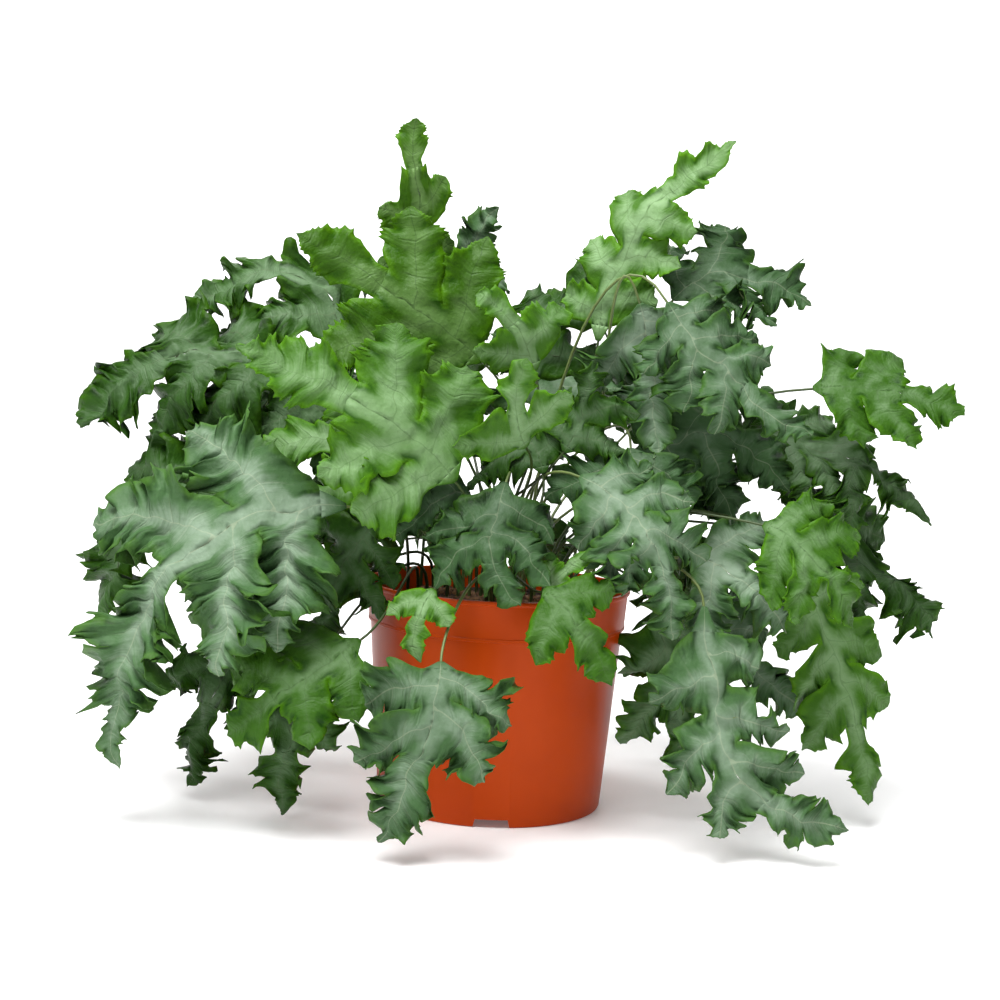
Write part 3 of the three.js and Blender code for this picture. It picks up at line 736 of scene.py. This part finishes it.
def lateral_lobes(frond, rachis, facing, step, half_width, bloom_width, wing):
    """The side lobes of a blade, from its base to its tip, to the left and to the right."""
    span = frond.share - BARE_SHARE

    def on_wing(t, out, side):
        slant = 0.5 * wing / rachis.length() * math.sin(math.pi * (t - BARE_SHARE) / span)
        t -= slant * (1 - out)
        tangent = rachis.direction(t)
        return rachis.point(t) + tangent.cross(squared_to(facing, tangent)) * (side * out * wing)

    def heading(t, side, angle):
        tangent = rachis.direction(t)
        outward = tangent.cross(squared_to(facing, tangent)) * side
        return tangent * math.cos(angle) + outward * math.sin(angle)

    for pair in range(frond.pairs):
        for side in (-1, 1):
            right = int(side > 0)
            draw = 2 * pair + right
            t = BARE_SHARE + (3 * pair + right + 1) * step
            low = t - 1.5 * step if pair else BARE_SHARE
            high = t + 1.5 * step if pair < frond.pairs - 1 else frond.share
            normal = squared_to(facing, rachis.direction(t))
            place = (pair + 0.5) / frond.pairs
            direction = heading(t, side, math.radians(lobe_angle(place) + 7 * wobble(frond.seed, draw)))
            roll = math.radians(frond.look.roll * (1 + 0.4 * wobble(frond.seed, draw + 20)))
            distal = direction.cross(normal) * -side
            swing = 1 - 0.2 * abs(2 * place - 1) + 0.1 * wobble(frond.seed, draw + 40)
            reach = frond.lobe * swing
            start = on_wing(t, 1, side)
            drop = normal * 0.7 + UP * 0.5
            end = start + direction * reach * (1 - 0.3 * frond.fall) - drop * frond.fall * reach
            stops = [t + (high - t) * u if u > 0 else t + (t - low) * u for u in ACROSS]
            edge = []
            for stop in stops:
                angle = math.radians(lobe_angle((stop - BARE_SHARE) / span))
                edge.append((on_wing(stop, 1, side), heading(stop, side, angle) * reach))
            inner = []
            for out in (k / STRIP_ROWS for k in range(STRIP_ROWS)):
                row = []
                for u, stop in zip(ACROSS, stops):
                    point = on_wing(stop, out, side)
                    from_rib = min((point - on_wing(t, out, side)).length, out * wing)
                    row.append((point, out * u, 0, from_rib, bloom_at(from_rib, bloom_width), 0))
                inner.append(row)
            yield Lobe(
                look=frond.look,
                seed=frond.seed + draw,
                hand=-side,
                half_width=half_width,
                bloom_width=bloom_width,
                tone=0.25 * wobble(frond.seed, draw + 61),
                rib=Bend(start, start + direction * reach / 2, end),
                facing=normal * math.cos(roll) + distal * math.sin(roll),
                inner=inner,
                edge=edge,
            )


@dataclass
class Frond:
    name: str
    look: Look
    foot: Vector
    start: Vector
    middle: Vector
    tip: Vector
    face: Vector
    pairs: int
    lobe: float
    fall: float
    share: float
    tone: float
    seed: int


def blade_object(frond, rachis, facing):
    """The blade of a frond as an object, and its lobes."""
    step = (frond.share - BARE_SHARE) / (3 * frond.pairs + 1)
    room = 3 * step * rachis.length()
    half_width = min(frond.look.breadth * room, WIDTH_OF_LOBE * frond.lobe, MOST_HALF_WIDTH)
    wing = min(frond.look.wing, WING_OF_WIDTH * half_width)
    bloom_width = min(BLOOM_WIDTH * half_width, BLOOM_REACH)

    def strip_point(t, u):
        tangent = rachis.direction(t)
        across = tangent.cross(squared_to(facing, tangent))
        half = partway(BASE_HALF_WIDTH, wing, min(t / BARE_SHARE, 1))
        return rachis.point(t) + across * (u * half)

    mesh = bmesh.new()
    layers = (
        mesh.verts.layers.float.new("bloom"),
        mesh.verts.layers.float.new("tint"),
        mesh.loops.layers.uv.new("blade"),
        mesh.loops.layers.uv.new("rib"),
    )
    strip = []
    for t in (BARE_SHARE * k / STRIP_ROWS for k in range(STRIP_ROWS + 1)):
        strip.append([])
        for u in ACROSS:
            from_rib = abs(u) * wing
            glow = partway(0.3, 1, t / BARE_SHARE) * bloom_at(from_rib, bloom_width)
            strip[-1].append((strip_point(t, u), 0, 0, from_rib, glow, 0))
    lay_sheet(mesh, strip, frond, 1, layers)

    lobes = list(lateral_lobes(frond, rachis, facing, step, half_width, bloom_width, wing))
    crown = frond.share
    towards = rachis.control.lerp(rachis.end, crown)
    rib = Bend(rachis.point(crown), towards, rachis.end)
    onward = rachis.direction(crown) * rib.length()
    lobes.append(Lobe(
        look=frond.look,
        seed=frond.seed + 9,
        hand=1,
        half_width=min(half_width, WIDTH_OF_LOBE * rib.length()),
        bloom_width=bloom_width,
        tone=0,
        rib=rib,
        facing=facing,
        inner=[],
        edge=[(strip_point(crown, u), onward) for u in ACROSS],
    ))
    for lobe in lobes:
        lay_sheet(mesh, lobe_sheet(lobe), frond, lobe.hand, layers)
    bmesh.ops.remove_doubles(mesh, verts=mesh.verts, dist=0.00001)
    data = bpy.data.meshes.new(frond.name)
    mesh.to_mesh(data)
    mesh.free()
    blade = bpy.data.objects.new(frond.name, data)
    bpy.context.collection.objects.link(blade)
    return blade, lobes


def rib_runs(frond, rachis, facing, lobes):
    """The stalk from its foot to the tip of the blade, and a thinner rib along every side lobe."""
    start = rachis.start
    tangent = rachis.direction(0)
    normal = squared_to(facing, tangent)
    collar = frond.foot + UP * STIPE_COLLAR
    reach = (start - collar).length
    rise = collar + UP * max(0.45 * reach, LEAST_RISE)
    approach = start - tangent * 0.4 * reach
    points = [frond.foot.copy()]
    for k in range(STIPE_STEPS):
        t = k / (STIPE_STEPS - 1)
        early = collar * (1 - t) ** 3 + rise * (3 * t * (1 - t) ** 2)
        late = approach * (3 * t * t * (1 - t)) + start * t ** 3
        points.append(early + late - normal * STIPE_SINK * t)
    steps = range(STIPE_STEPS + 1)
    radii = [partway(STIPE_RADIUS, STIPE_TOP_RADIUS, k / STIPE_STEPS) for k in steps]
    for k in range(1, RIB_STEPS + 1):
        t = RIB_SHARE * k / RIB_STEPS
        upper = squared_to(facing, rachis.direction(t))
        radius = STIPE_TOP_RADIUS * (1 - t) ** 0.7 + 0.0002
        spot = rachis.point(t) - upper * (STIPE_SINK + 0.9 * radius * min(10 * t, 1))
        points.append(crumpled(spot, frond.look, frond.seed, frond.start))
        radii.append(radius)
    runs = [(points, radii)]
    stops = [k / VEIN_STEPS for k in range(VEIN_STEPS)]
    vein_radii = [partway(VEIN_RADIUS, VEIN_TIP_RADIUS, s) for s in stops]
    for lobe in lobes[:-1]:
        spots = [lobe.rib.point(s) - lobe.facing * VEIN_SINK for s in stops]
        vein = [crumpled(spot, frond.look, frond.seed, frond.start) for spot in spots]
        runs.append((vein, vein_radii))
    return runs


def leaf_pattern():
    """Colours a blade by its bloom, its veins, its margin and its rib, darkens it by its tint, which is
    partly painted shade, paints shade into the notches between its fingers, and raises its relief.
    """
    group = bpy.data.node_groups.new("leaf_pattern", "ShaderNodeTree")
    inputs = {
        "Color": ("Deep", "Body", "Wax", "Margin", "Rib"),
        "Float": ("Bloom", "Tint", "Rib Width"),
        "Vector": ("Blade Map", "Rib Map", "Place"),
    }
    for kind, names in inputs.items():
        for name in names:
            group.interface.new_socket(name, in_out="INPUT", socket_type="NodeSocket" + kind)
    group.interface.new_socket("Color", in_out="OUTPUT", socket_type="NodeSocketColor")
    group.interface.new_socket("Height", in_out="OUTPUT", socket_type="NodeSocketFloat")
    nodes, links = group.nodes, group.links
    given = nodes.new("NodeGroupInput")
    result = nodes.new("NodeGroupOutput")

    def calc(operation, *values):
        node = nodes.new("ShaderNodeMath")
        node.operation = operation
        for socket, value in zip(node.inputs, values):
            feed(links, value, socket)
        return node.outputs["Value"]

    def fade(value, start, end, low=0, high=1):
        node = nodes.new("ShaderNodeMapRange")
        node.interpolation_type = "SMOOTHSTEP"
        node.inputs["From Min"].default_value = start
        node.inputs["From Max"].default_value = end
        node.inputs["To Min"].default_value = low
        node.inputs["To Max"].default_value = high
        links.new(value, node.inputs["Value"])
        return node.outputs["Result"]

    def scatter(value, amount):
        """A noise, moved to lie around nought."""
        return calc("MULTIPLY", calc("SUBTRACT", value, 0.5), amount)

    def blend(share, first, second, mode="MIX"):
        return add_blend(nodes, links, share, first, second, mode)

    blade_map = nodes.new("ShaderNodeSeparateXYZ")
    links.new(given.outputs["Blade Map"], blade_map.inputs["Vector"])
    rib_map = nodes.new("ShaderNodeSeparateXYZ")
    links.new(given.outputs["Rib Map"], rib_map.inputs["Vector"])
    across = calc("ABSOLUTE", blade_map.outputs["X"])
    phase = blade_map.outputs["Y"]
    from_rib = rib_map.outputs["X"]

    tint = given.outputs["Tint"]
    cloud = add_noise(nodes, links, given.outputs["Place"], 34, 3)
    mottle = add_noise(nodes, links, given.outputs["Place"], 140, 6)
    fine = add_noise(nodes, links, given.outputs["Place"], 420, 3)
    fibre_place = nodes.new("ShaderNodeCombineXYZ")
    links.new(calc("MULTIPLY", phase, 7), fibre_place.inputs["X"])
    links.new(calc("ADD", across, calc("MULTIPLY", tint, 9)), fibre_place.inputs["Y"])
    fibre = add_noise(nodes, links, fibre_place.outputs["Vector"], 1.5, 3)
    to_vein = calc("ABSOLUTE", calc("SUBTRACT", calc("FRACT", phase), 0.5))
    vein = calc("MULTIPLY", fade(to_vein, 0, 0.06, 1, 0), fade(across, 0.1, 0.8, 1, 0))

    # Tint takes bloom away: the blade's own tone, and painted shade on blades that lie in shade.
    whiteness = calc("SUBTRACT", given.outputs["Bloom"], calc("MULTIPLY", tint, 0.4))
    for value, amount in ((cloud, 0.6), (mottle, 0.5), (fibre, 0.55)):
        whiteness = calc("ADD", whiteness, scatter(value, amount))
    color = blend(fade(whiteness, -0.35, 0.25), given.outputs["Deep"], given.outputs["Body"])
    color = blend(fade(whiteness, 0.35, 1.35), color, given.outputs["Wax"])
    # Painted shade: the notches between the fingers are darkened towards the deep green, where shadow
    # falls between them.
    painted_notch_shade = calc("MULTIPLY", fade(to_vein, 0.34, 0.5, 0, 0.8), fade(across, 0.35, 0.8))
    color = blend(painted_notch_shade, color, given.outputs["Deep"])
    rim = calc("ADD", across, scatter(mottle, 0.6))
    color = blend(fade(rim, 0.65, 1.05, 0, 0.7), color, given.outputs["Margin"])
    rib_edge = calc("DIVIDE", from_rib, given.outputs["Rib Width"])
    rib_line = calc("MAXIMUM", fade(rib_edge, 0.3, 1.2, 0.38, 0), calc("MULTIPLY", vein, 0.15))
    color = blend(rib_line, color, given.outputs["Rib"])
    # Tint darkens the colour: the blade's own tone, and painted shade on blades that lie in shade under
    # the crown.
    color = blend(fade(tint, -1, 1), color, (0.5, 0.55, 0.5, 1), "MULTIPLY")
    links.new(color, result.inputs["Color"])

    height = calc("MULTIPLY", mottle, 1.2)
    for value, amount in ((fine, 0.3), (fibre, 0.6), (vein, -0.35)):
        height = calc("ADD", height, calc("MULTIPLY", value, amount))
    links.new(height, result.inputs["Height"])
    return group


pattern = leaf_pattern()


def leaf_material(name, roughness, rib_width=0.5, **colors):
    material, nodes, links = new_material(name)
    skin = nodes["Principled BSDF"]
    tinted = nodes.new("ShaderNodeGroup")
    tinted.node_tree = pattern
    tinted.inputs["Rib Width"].default_value = rib_width
    for socket, color in colors.items():
        tinted.inputs[socket.capitalize()].default_value = from_screen(*color)
    for attribute in ("bloom", "tint"):
        node = nodes.new("ShaderNodeAttribute")
        node.attribute_name = attribute
        links.new(node.outputs["Fac"], tinted.inputs[attribute.capitalize()])
    for map_name, socket in (("blade", "Blade Map"), ("rib", "Rib Map")):
        node = nodes.new("ShaderNodeUVMap")
        node.uv_map = map_name
        links.new(node.outputs["UV"], tinted.inputs[socket])
    links.new(object_place(nodes), tinted.inputs["Place"])
    links.new(tinted.outputs["Color"], skin.inputs["Base Color"])
    add_relief(nodes, links, tinted.outputs["Height"], 0.75, 0.0015)
    skin.inputs["Roughness"].default_value = roughness
    skin.inputs["Specular IOR Level"].default_value = 0.12
    return material


def stalk_material(name, dark, light):
    material, nodes, links = new_material(name)
    skin = nodes["Principled BSDF"]
    fleck = add_noise(nodes, links, object_place(nodes), 60, 4)
    tone = add_blend(nodes, links, fleck, from_screen(*dark), from_screen(*light))
    links.new(tone, skin.inputs["Base Color"])
    skin.inputs["Roughness"].default_value = 0.45
    return material


LEAF_MATERIALS = {
    FRESH: (
        leaf_material(
            "fresh_leaf", deep=(38, 78, 2), body=(58, 96, 16), wax=(104, 136, 78),
            margin=(86, 136, 8), rib=(40, 66, 30), roughness=0.42,
        ),
        leaf_material(
            "fresh_underside", deep=(60, 102, 26), body=(76, 116, 42), wax=(98, 130, 72),
            margin=(94, 134, 40), rib=(110, 130, 80), rib_width=1, roughness=0.55,
        ),
        stalk_material("fresh_stalk", (38, 56, 20), (70, 88, 38)),
    ),
    YOUNG: (
        leaf_material(
            "young_leaf", deep=(30, 70, 2), body=(68, 110, 34), wax=(130, 162, 114),
            margin=(86, 138, 14), rib=(84, 112, 66), roughness=0.45,
        ),
        leaf_material(
            "young_underside", deep=(60, 102, 30), body=(76, 116, 46), wax=(98, 130, 74),
            margin=(92, 132, 38), rib=(110, 130, 80), rib_width=1, roughness=0.55,
        ),
        stalk_material("young_stalk", (38, 56, 20), (70, 88, 38)),
    ),
    MATURE: (
        leaf_material(
            "mature_leaf", deep=(20, 46, 12), body=(78, 110, 70), wax=(142, 162, 140),
            margin=(76, 116, 42), rib=(168, 176, 148), roughness=0.46,
        ),
        leaf_material(
            "mature_underside", deep=(44, 76, 30), body=(62, 94, 46), wax=(88, 116, 76),
            margin=(62, 98, 36), rib=(112, 122, 84), rib_width=1, roughness=0.6,
        ),
        stalk_material("mature_stalk", (60, 78, 32), (118, 134, 76)),
    ),
    CURLY: (
        leaf_material(
            "curly_leaf", deep=(14, 38, 4), body=(50, 84, 28), wax=(106, 132, 98),
            margin=(64, 104, 14), rib=(96, 110, 80), roughness=0.42,
        ),
        leaf_material(
            "curly_underside", deep=(34, 66, 18), body=(48, 80, 30), wax=(70, 100, 54),
            margin=(48, 84, 22), rib=(90, 100, 60), rib_width=1, roughness=0.55,
        ),
        stalk_material("curly_stalk", (32, 48, 16), (58, 74, 30)),
    ),
}


def make_frond(frond):
    control = frond.middle * 2 - (frond.start + frond.tip) / 2
    rachis = Bend(frond.start, control, frond.tip)
    facing = frond.face.normalized()
    blade, lobes = blade_object(frond, rachis, facing)
    upper, under, stalk = LEAF_MATERIALS[frond.look]
    blade.data.materials.append(upper)
    blade.data.materials.append(under)
    bpy.context.view_layer.objects.active = blade
    thickness = blade.modifiers.new("thickness", "SOLIDIFY")
    thickness.thickness = BLADE
    thickness.offset = 0
    thickness.material_offset = 1
    bpy.ops.object.modifier_apply(modifier="thickness")
    ribs = swept_tubes(frond.name + "_ribs", rib_runs(frond, rachis, facing, lobes), 1)
    ribs.data.materials.append(stalk)
    bpy.ops.object.shade_smooth()
    blade.select_set(True)
    bpy.context.view_layer.objects.active = blade
    bpy.ops.object.join()
    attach(blade, "root")
    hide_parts("frond_" + frond.name)


# The share of a blade that its side lobes take, by the number of their pairs.
USUAL_SHARE = (0, 0.45, 0.6, 0.66)
# One row a frond: where it shows from the front and its look, the arm of the rhizome and the place on
# it that carry it, the start, middle and tip of its blade, where its upper side looks, its pairs of
# side lobes, the length of the longest, how far they hang, and the share that the pairs take where it
# isn't the usual one.
FRONDS = [
    ("top_spike", FRESH, 1, 0, (-0.060, 0.035, 0.345), (-0.076, 0.030, 0.440),
     (-0.083, 0.020, 0.538), (0, -10, 2), 3, 0.032, 0.1, 0.82),
    ("top_left", FRESH, 3, 0, (-0.020, -0.025, 0.350), (-0.085, -0.035, 0.397),
     (-0.167, -0.040, 0.442), (1, -10, 2), 2, 0.088, 0.1),
    ("top_right", YOUNG, 0, 0, (0.070, 0.015, 0.370), (0.098, 0.010, 0.462),
     (0.168, 0, 0.530), (-3, -9, 3), 3, 0.038, 0.2),
    ("top_small", MATURE, 1, 1, (-0.045, 0.075, 0.365), (-0.040, 0.080, 0.435),
     (-0.011, 0.080, 0.478), (2, -10, 2), 1, 0.045, 0.2),
    ("top_fresh", YOUNG, 4, 0, (0.020, -0.050, 0.345), (0, -0.065, 0.384),
     (-0.027, -0.070, 0.400), (0, -10, 3), 1, 0.034, 0.2),
    ("top_middle", CURLY, 1, 2, (0.015, 0.045, 0.330), (0.045, 0.055, 0.400),
     (0.062, 0.060, 0.440), (1, -9, 4), 2, 0.050, 0.3),
    ("right_high", MATURE, 0, 1, (0.119, -0.040, 0.402), (0.163, -0.055, 0.352),
     (0.229, -0.070, 0.308), (2, -9, 5), 3, 0.046, 0.2),
    ("right_middle", MATURE, 5, 1, (0.105, -0.005, 0.275), (0.165, -0.010, 0.300),
     (0.225, -0.015, 0.262), (0, -9, 1), 2, 0.062, 0.4),
    ("right_tip", YOUNG, 0, 5, (0.240, 0, 0.341), (0.300, -0.005, 0.341),
     (0.357, -0.015, 0.328), (0, -8, 6), 2, 0.046, 0.2),
    ("right_curled", CURLY, 0, 3, (0.206, 0.030, 0.289), (0.270, 0.030, 0.290),
     (0.340, 0.010, 0.238), (2, -7, 7), 3, 0.066, 0.5),
    ("right_outer", CURLY, 0, 4, (0.225, 0.040, 0.225), (0.300, 0.040, 0.204),
     (0.357, 0.030, 0.142), (3, -7, 6), 2, 0.068, 0.4),
    ("right_green", YOUNG, 5, 3, (0.195, -0.085, 0.240), (0.235, -0.100, 0.218),
     (0.268, -0.095, 0.165), (3, -9, 5), 2, 0.054, 0.2),
    ("right_hanging", YOUNG, 5, 4, (0.236, -0.020, 0.199), (0.277, -0.020, 0.106),
     (0.294, -0.040, 0.019), (3, -9, 2), 3, 0.044, 0.1),
    ("right_cascade", MATURE, 5, 0, (0.057, -0.080, 0.269), (0.109, -0.115, 0.228),
     (0.127, -0.120, 0.156), (1, -10, 4), 3, 0.048, 0.3),
    ("right_low", MATURE, 5, 5, (0.145, -0.050, 0.208), (0.185, -0.075, 0.197),
     (0.221, -0.080, 0.153), (2, -9, 5), 1, 0.055, 0.2),
    ("right_foot", MATURE, 5, 7, (0.152, -0.110, 0.180), (0.180, -0.145, 0.066),
     (0.258, -0.145, 0.028), (2, -10, 3), 3, 0.046, 0.1),
    ("right_inner", CURLY, 5, 6, (0.124, -0.020, 0.162), (0.143, -0.035, 0.093),
     (0.157, -0.045, 0.028), (2, -10, 1), 2, 0.044, 0.2),
    ("right_behind", MATURE, 0, 6, (0.155, 0.030, 0.165), (0.194, 0.025, 0.126),
     (0.255, 0.025, 0.076), (4, -8, 4), 2, 0.050, 0.3),
    ("front_right", YOUNG, 5, 2, (0.034, -0.125, 0.190), (0.060, -0.145, 0.165),
     (0.085, -0.145, 0.128), (0, -10, 4), 1, 0.038, 0.2, 0.5),
    ("front_sprout", YOUNG, 4, 4, (0.036, -0.100, 0.186), (0.052, -0.112, 0.202),
     (0.073, -0.118, 0.213), (0, -8, 6), 1, 0.020, 0.2),
    ("front_middle", YOUNG, 4, 1, (0.016, -0.095, 0.290), (0.008, -0.120, 0.318),
     (0.015, -0.125, 0.357), (0, -10, 2), 1, 0.044, 0.2),
    ("front_hanging", MATURE, 4, 3, (0.002, -0.080, 0.262), (-0.004, -0.120, 0.215),
     (0.014, -0.132, 0.180), (0, -10, 4), 2, 0.050, 0.2),
    ("front_inner", MATURE, 3, 1, (-0.024, -0.066, 0.250), (-0.053, -0.091, 0.248),
     (-0.080, -0.096, 0.216), (0, -9, 5), 1, 0.060, 0.3),
    ("front_pot", MATURE, 4, 6, (-0.038, -0.160, 0.139), (-0.046, -0.188, 0.088),
     (-0.074, -0.192, 0.012), (0, -10, 3), 2, 0.054, 0.2),
    ("front_small", YOUNG, 4, 5, (-0.046, -0.130, 0.186), (-0.056, -0.148, 0.164),
     (-0.052, -0.150, 0.136), (0, -10, 3), 1, 0.024, 0.2),
    ("front_left", YOUNG, 4, 2, (-0.035, -0.095, 0.262), (-0.095, -0.115, 0.312),
     (-0.195, -0.125, 0.355), (1, -10, 4), 2, 0.072, 0.1),
    ("left_green", YOUNG, 3, 2, (-0.050, -0.035, 0.245), (-0.113, -0.040, 0.282),
     (-0.195, -0.040, 0.275), (0, -9, 5), 2, 0.066, 0.3),
    ("left_low", YOUNG, 3, 6, (-0.099, -0.120, 0.145), (-0.149, -0.150, 0.111),
     (-0.189, -0.150, 0.077), (-3, -10, 4), 2, 0.046, 0.2),
    ("left_hanging", CURLY, 3, 5, (-0.120, -0.080, 0.140), (-0.150, -0.105, 0.070),
     (-0.154, -0.095, 0.006), (-2, -10, 2), 2, 0.038, 0.2),
    ("left_foot", CURLY, 2, 6, (-0.152, -0.030, 0.150), (-0.215, -0.045, 0.090),
     (-0.234, -0.050, 0.006), (-5, -9, 3), 2, 0.056, 0.2),
    ("left_great", MATURE, 3, 4, (-0.115, -0.095, 0.240), (-0.232, -0.140, 0.197),
     (-0.275, -0.130, 0.042), (-3, -10, 4), 2, 0.105, 0.3, 0.52),
    ("left_outer", CURLY, 2, 4, (-0.180, -0.015, 0.244), (-0.275, -0.040, 0.219),
     (-0.305, -0.045, 0.126), (-6, -7, 4), 1, 0.075, 0.3, 0.5),
    ("left_high", CURLY, 2, 2, (-0.130, 0.015, 0.285), (-0.240, 0.010, 0.345),
     (-0.338, 0, 0.285), (0, -8, 6), 3, 0.084, 0.6),
    ("left_arch", CURLY, 2, 1, (-0.125, 0.060, 0.345), (-0.194, 0.065, 0.417),
     (-0.262, 0.055, 0.371), (0, -6, 8), 1, 0.066, 0.3, 0.48),
    ("right_drop", MATURE, 0, 7, (0.098, -0.037, 0.400), (0.110, -0.035, 0.345),
     (0.110, -0.062, 0.282), (0, -10, 2), 1, 0.050, 0.2),
    ("centre_right", MATURE, 1, 6, (0.096, -0.050, 0.290), (0.086, -0.072, 0.255),
     (0.058, -0.088, 0.202), (-2, -10, 3), 1, 0.056, 0.3),
    ("centre_dark", CURLY, 4, 7, (0.030, -0.058, 0.268), (0.010, -0.052, 0.293),
     (-0.030, -0.058, 0.276), (0, -8, 6), 2, 0.056, 0.5),
    ("left_inner", CURLY, 3, 7, (-0.095, -0.082, 0.225), (-0.122, -0.072, 0.180),
     (-0.132, -0.072, 0.120), (-1, -10, 2), 2, 0.038, 0.2),
    ("left_behind", CURLY, 2, 7, (-0.085, 0.050, 0.235), (-0.150, 0.055, 0.215),
     (-0.175, 0.055, 0.140), (-1, -9, 4), 1, 0.056, 0.2),
    ("back_left", MATURE, 2, 3, (-0.090, 0.090, 0.290), (-0.165, 0.135, 0.330),
     (-0.240, 0.160, 0.265), (-4, 5, 8), 2, 0.076, 0.4),
    ("back_high", CURLY, 2, 0, (-0.040, 0.095, 0.320), (-0.070, 0.165, 0.375),
     (-0.100, 0.245, 0.335), (-2, 4, 9), 2, 0.064, 0.4),
    ("back_middle", MATURE, 1, 3, (0.035, 0.105, 0.300), (0.060, 0.175, 0.345),
     (0.080, 0.250, 0.285), (2, 5, 8), 2, 0.078, 0.4),
    ("back_right", MATURE, 0, 2, (0.105, 0.085, 0.300), (0.180, 0.125, 0.335),
     (0.255, 0.155, 0.270), (4, 4, 8), 2, 0.064, 0.4),
    ("back_low_left", CURLY, 2, 5, (-0.095, 0.080, 0.200), (-0.170, 0.145, 0.190),
     (-0.210, 0.185, 0.080), (-6, 7, 5), 1, 0.074, 0.3),
    ("back_low", MATURE, 1, 5, (-0.010, 0.120, 0.210), (-0.015, 0.195, 0.185),
     (-0.020, 0.235, 0.070), (0, 9, 5), 1, 0.082, 0.3),
    ("back_low_right", CURLY, 1, 4, (0.095, 0.105, 0.200), (0.150, 0.175, 0.185),
     (0.180, 0.210, 0.075), (6, 7, 5), 1, 0.074, 0.3),
    ("right_crest", MATURE, 1, 7, (0.127, 0.010, 0.405), (0.176, 0.020, 0.430),
     (0.238, 0.015, 0.408), (0, -8, 6), 2, 0.058, 0.2),
    ("centre_high", CURLY, 3, 3, (0.045, -0.055, 0.285), (0.062, -0.055, 0.320),
     (0.068, -0.060, 0.360), (0, -9, 3), 2, 0.038, 0.3),
]
# How dark some blades are, from -1 for pale to 1 for dark: partly their own tone, partly painted shade
# on blades that lie in shade under others in the crown. The others vary from blade to blade.
TONES_AND_SHADE = {
    "front_hanging": 0.8, "centre_right": 0.6, "right_middle": 0.9, "front_pot": 0.2, "front_inner": 0.9,
    "right_high": 0.3, "right_tip": 0.4, "left_great": -0.2, "right_foot": 0, "right_crest": 0.6,
    "front_left": -0.2, "top_small": 0,
}
for seed, row in enumerate(FRONDS, 1):
    where, look, arm, place, start, middle, tip, face, pairs, lobe, fall, *share = row
    make_frond(Frond(
        name=where,
        look=look,
        foot=foot_of(arm, place),
        start=Vector(start),
        middle=Vector(middle),
        tip=Vector(tip),
        face=Vector(face),
        pairs=pairs,
        lobe=lobe,
        fall=fall,
        share=share[0] if share else USUAL_SHARE[pairs],
        tone=TONES_AND_SHADE.get(where, 0.5 * wobble(seed, 60)),
        seed=seed,
    ))

[[list(corner) for corner in box] for box in (cad_box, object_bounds())]
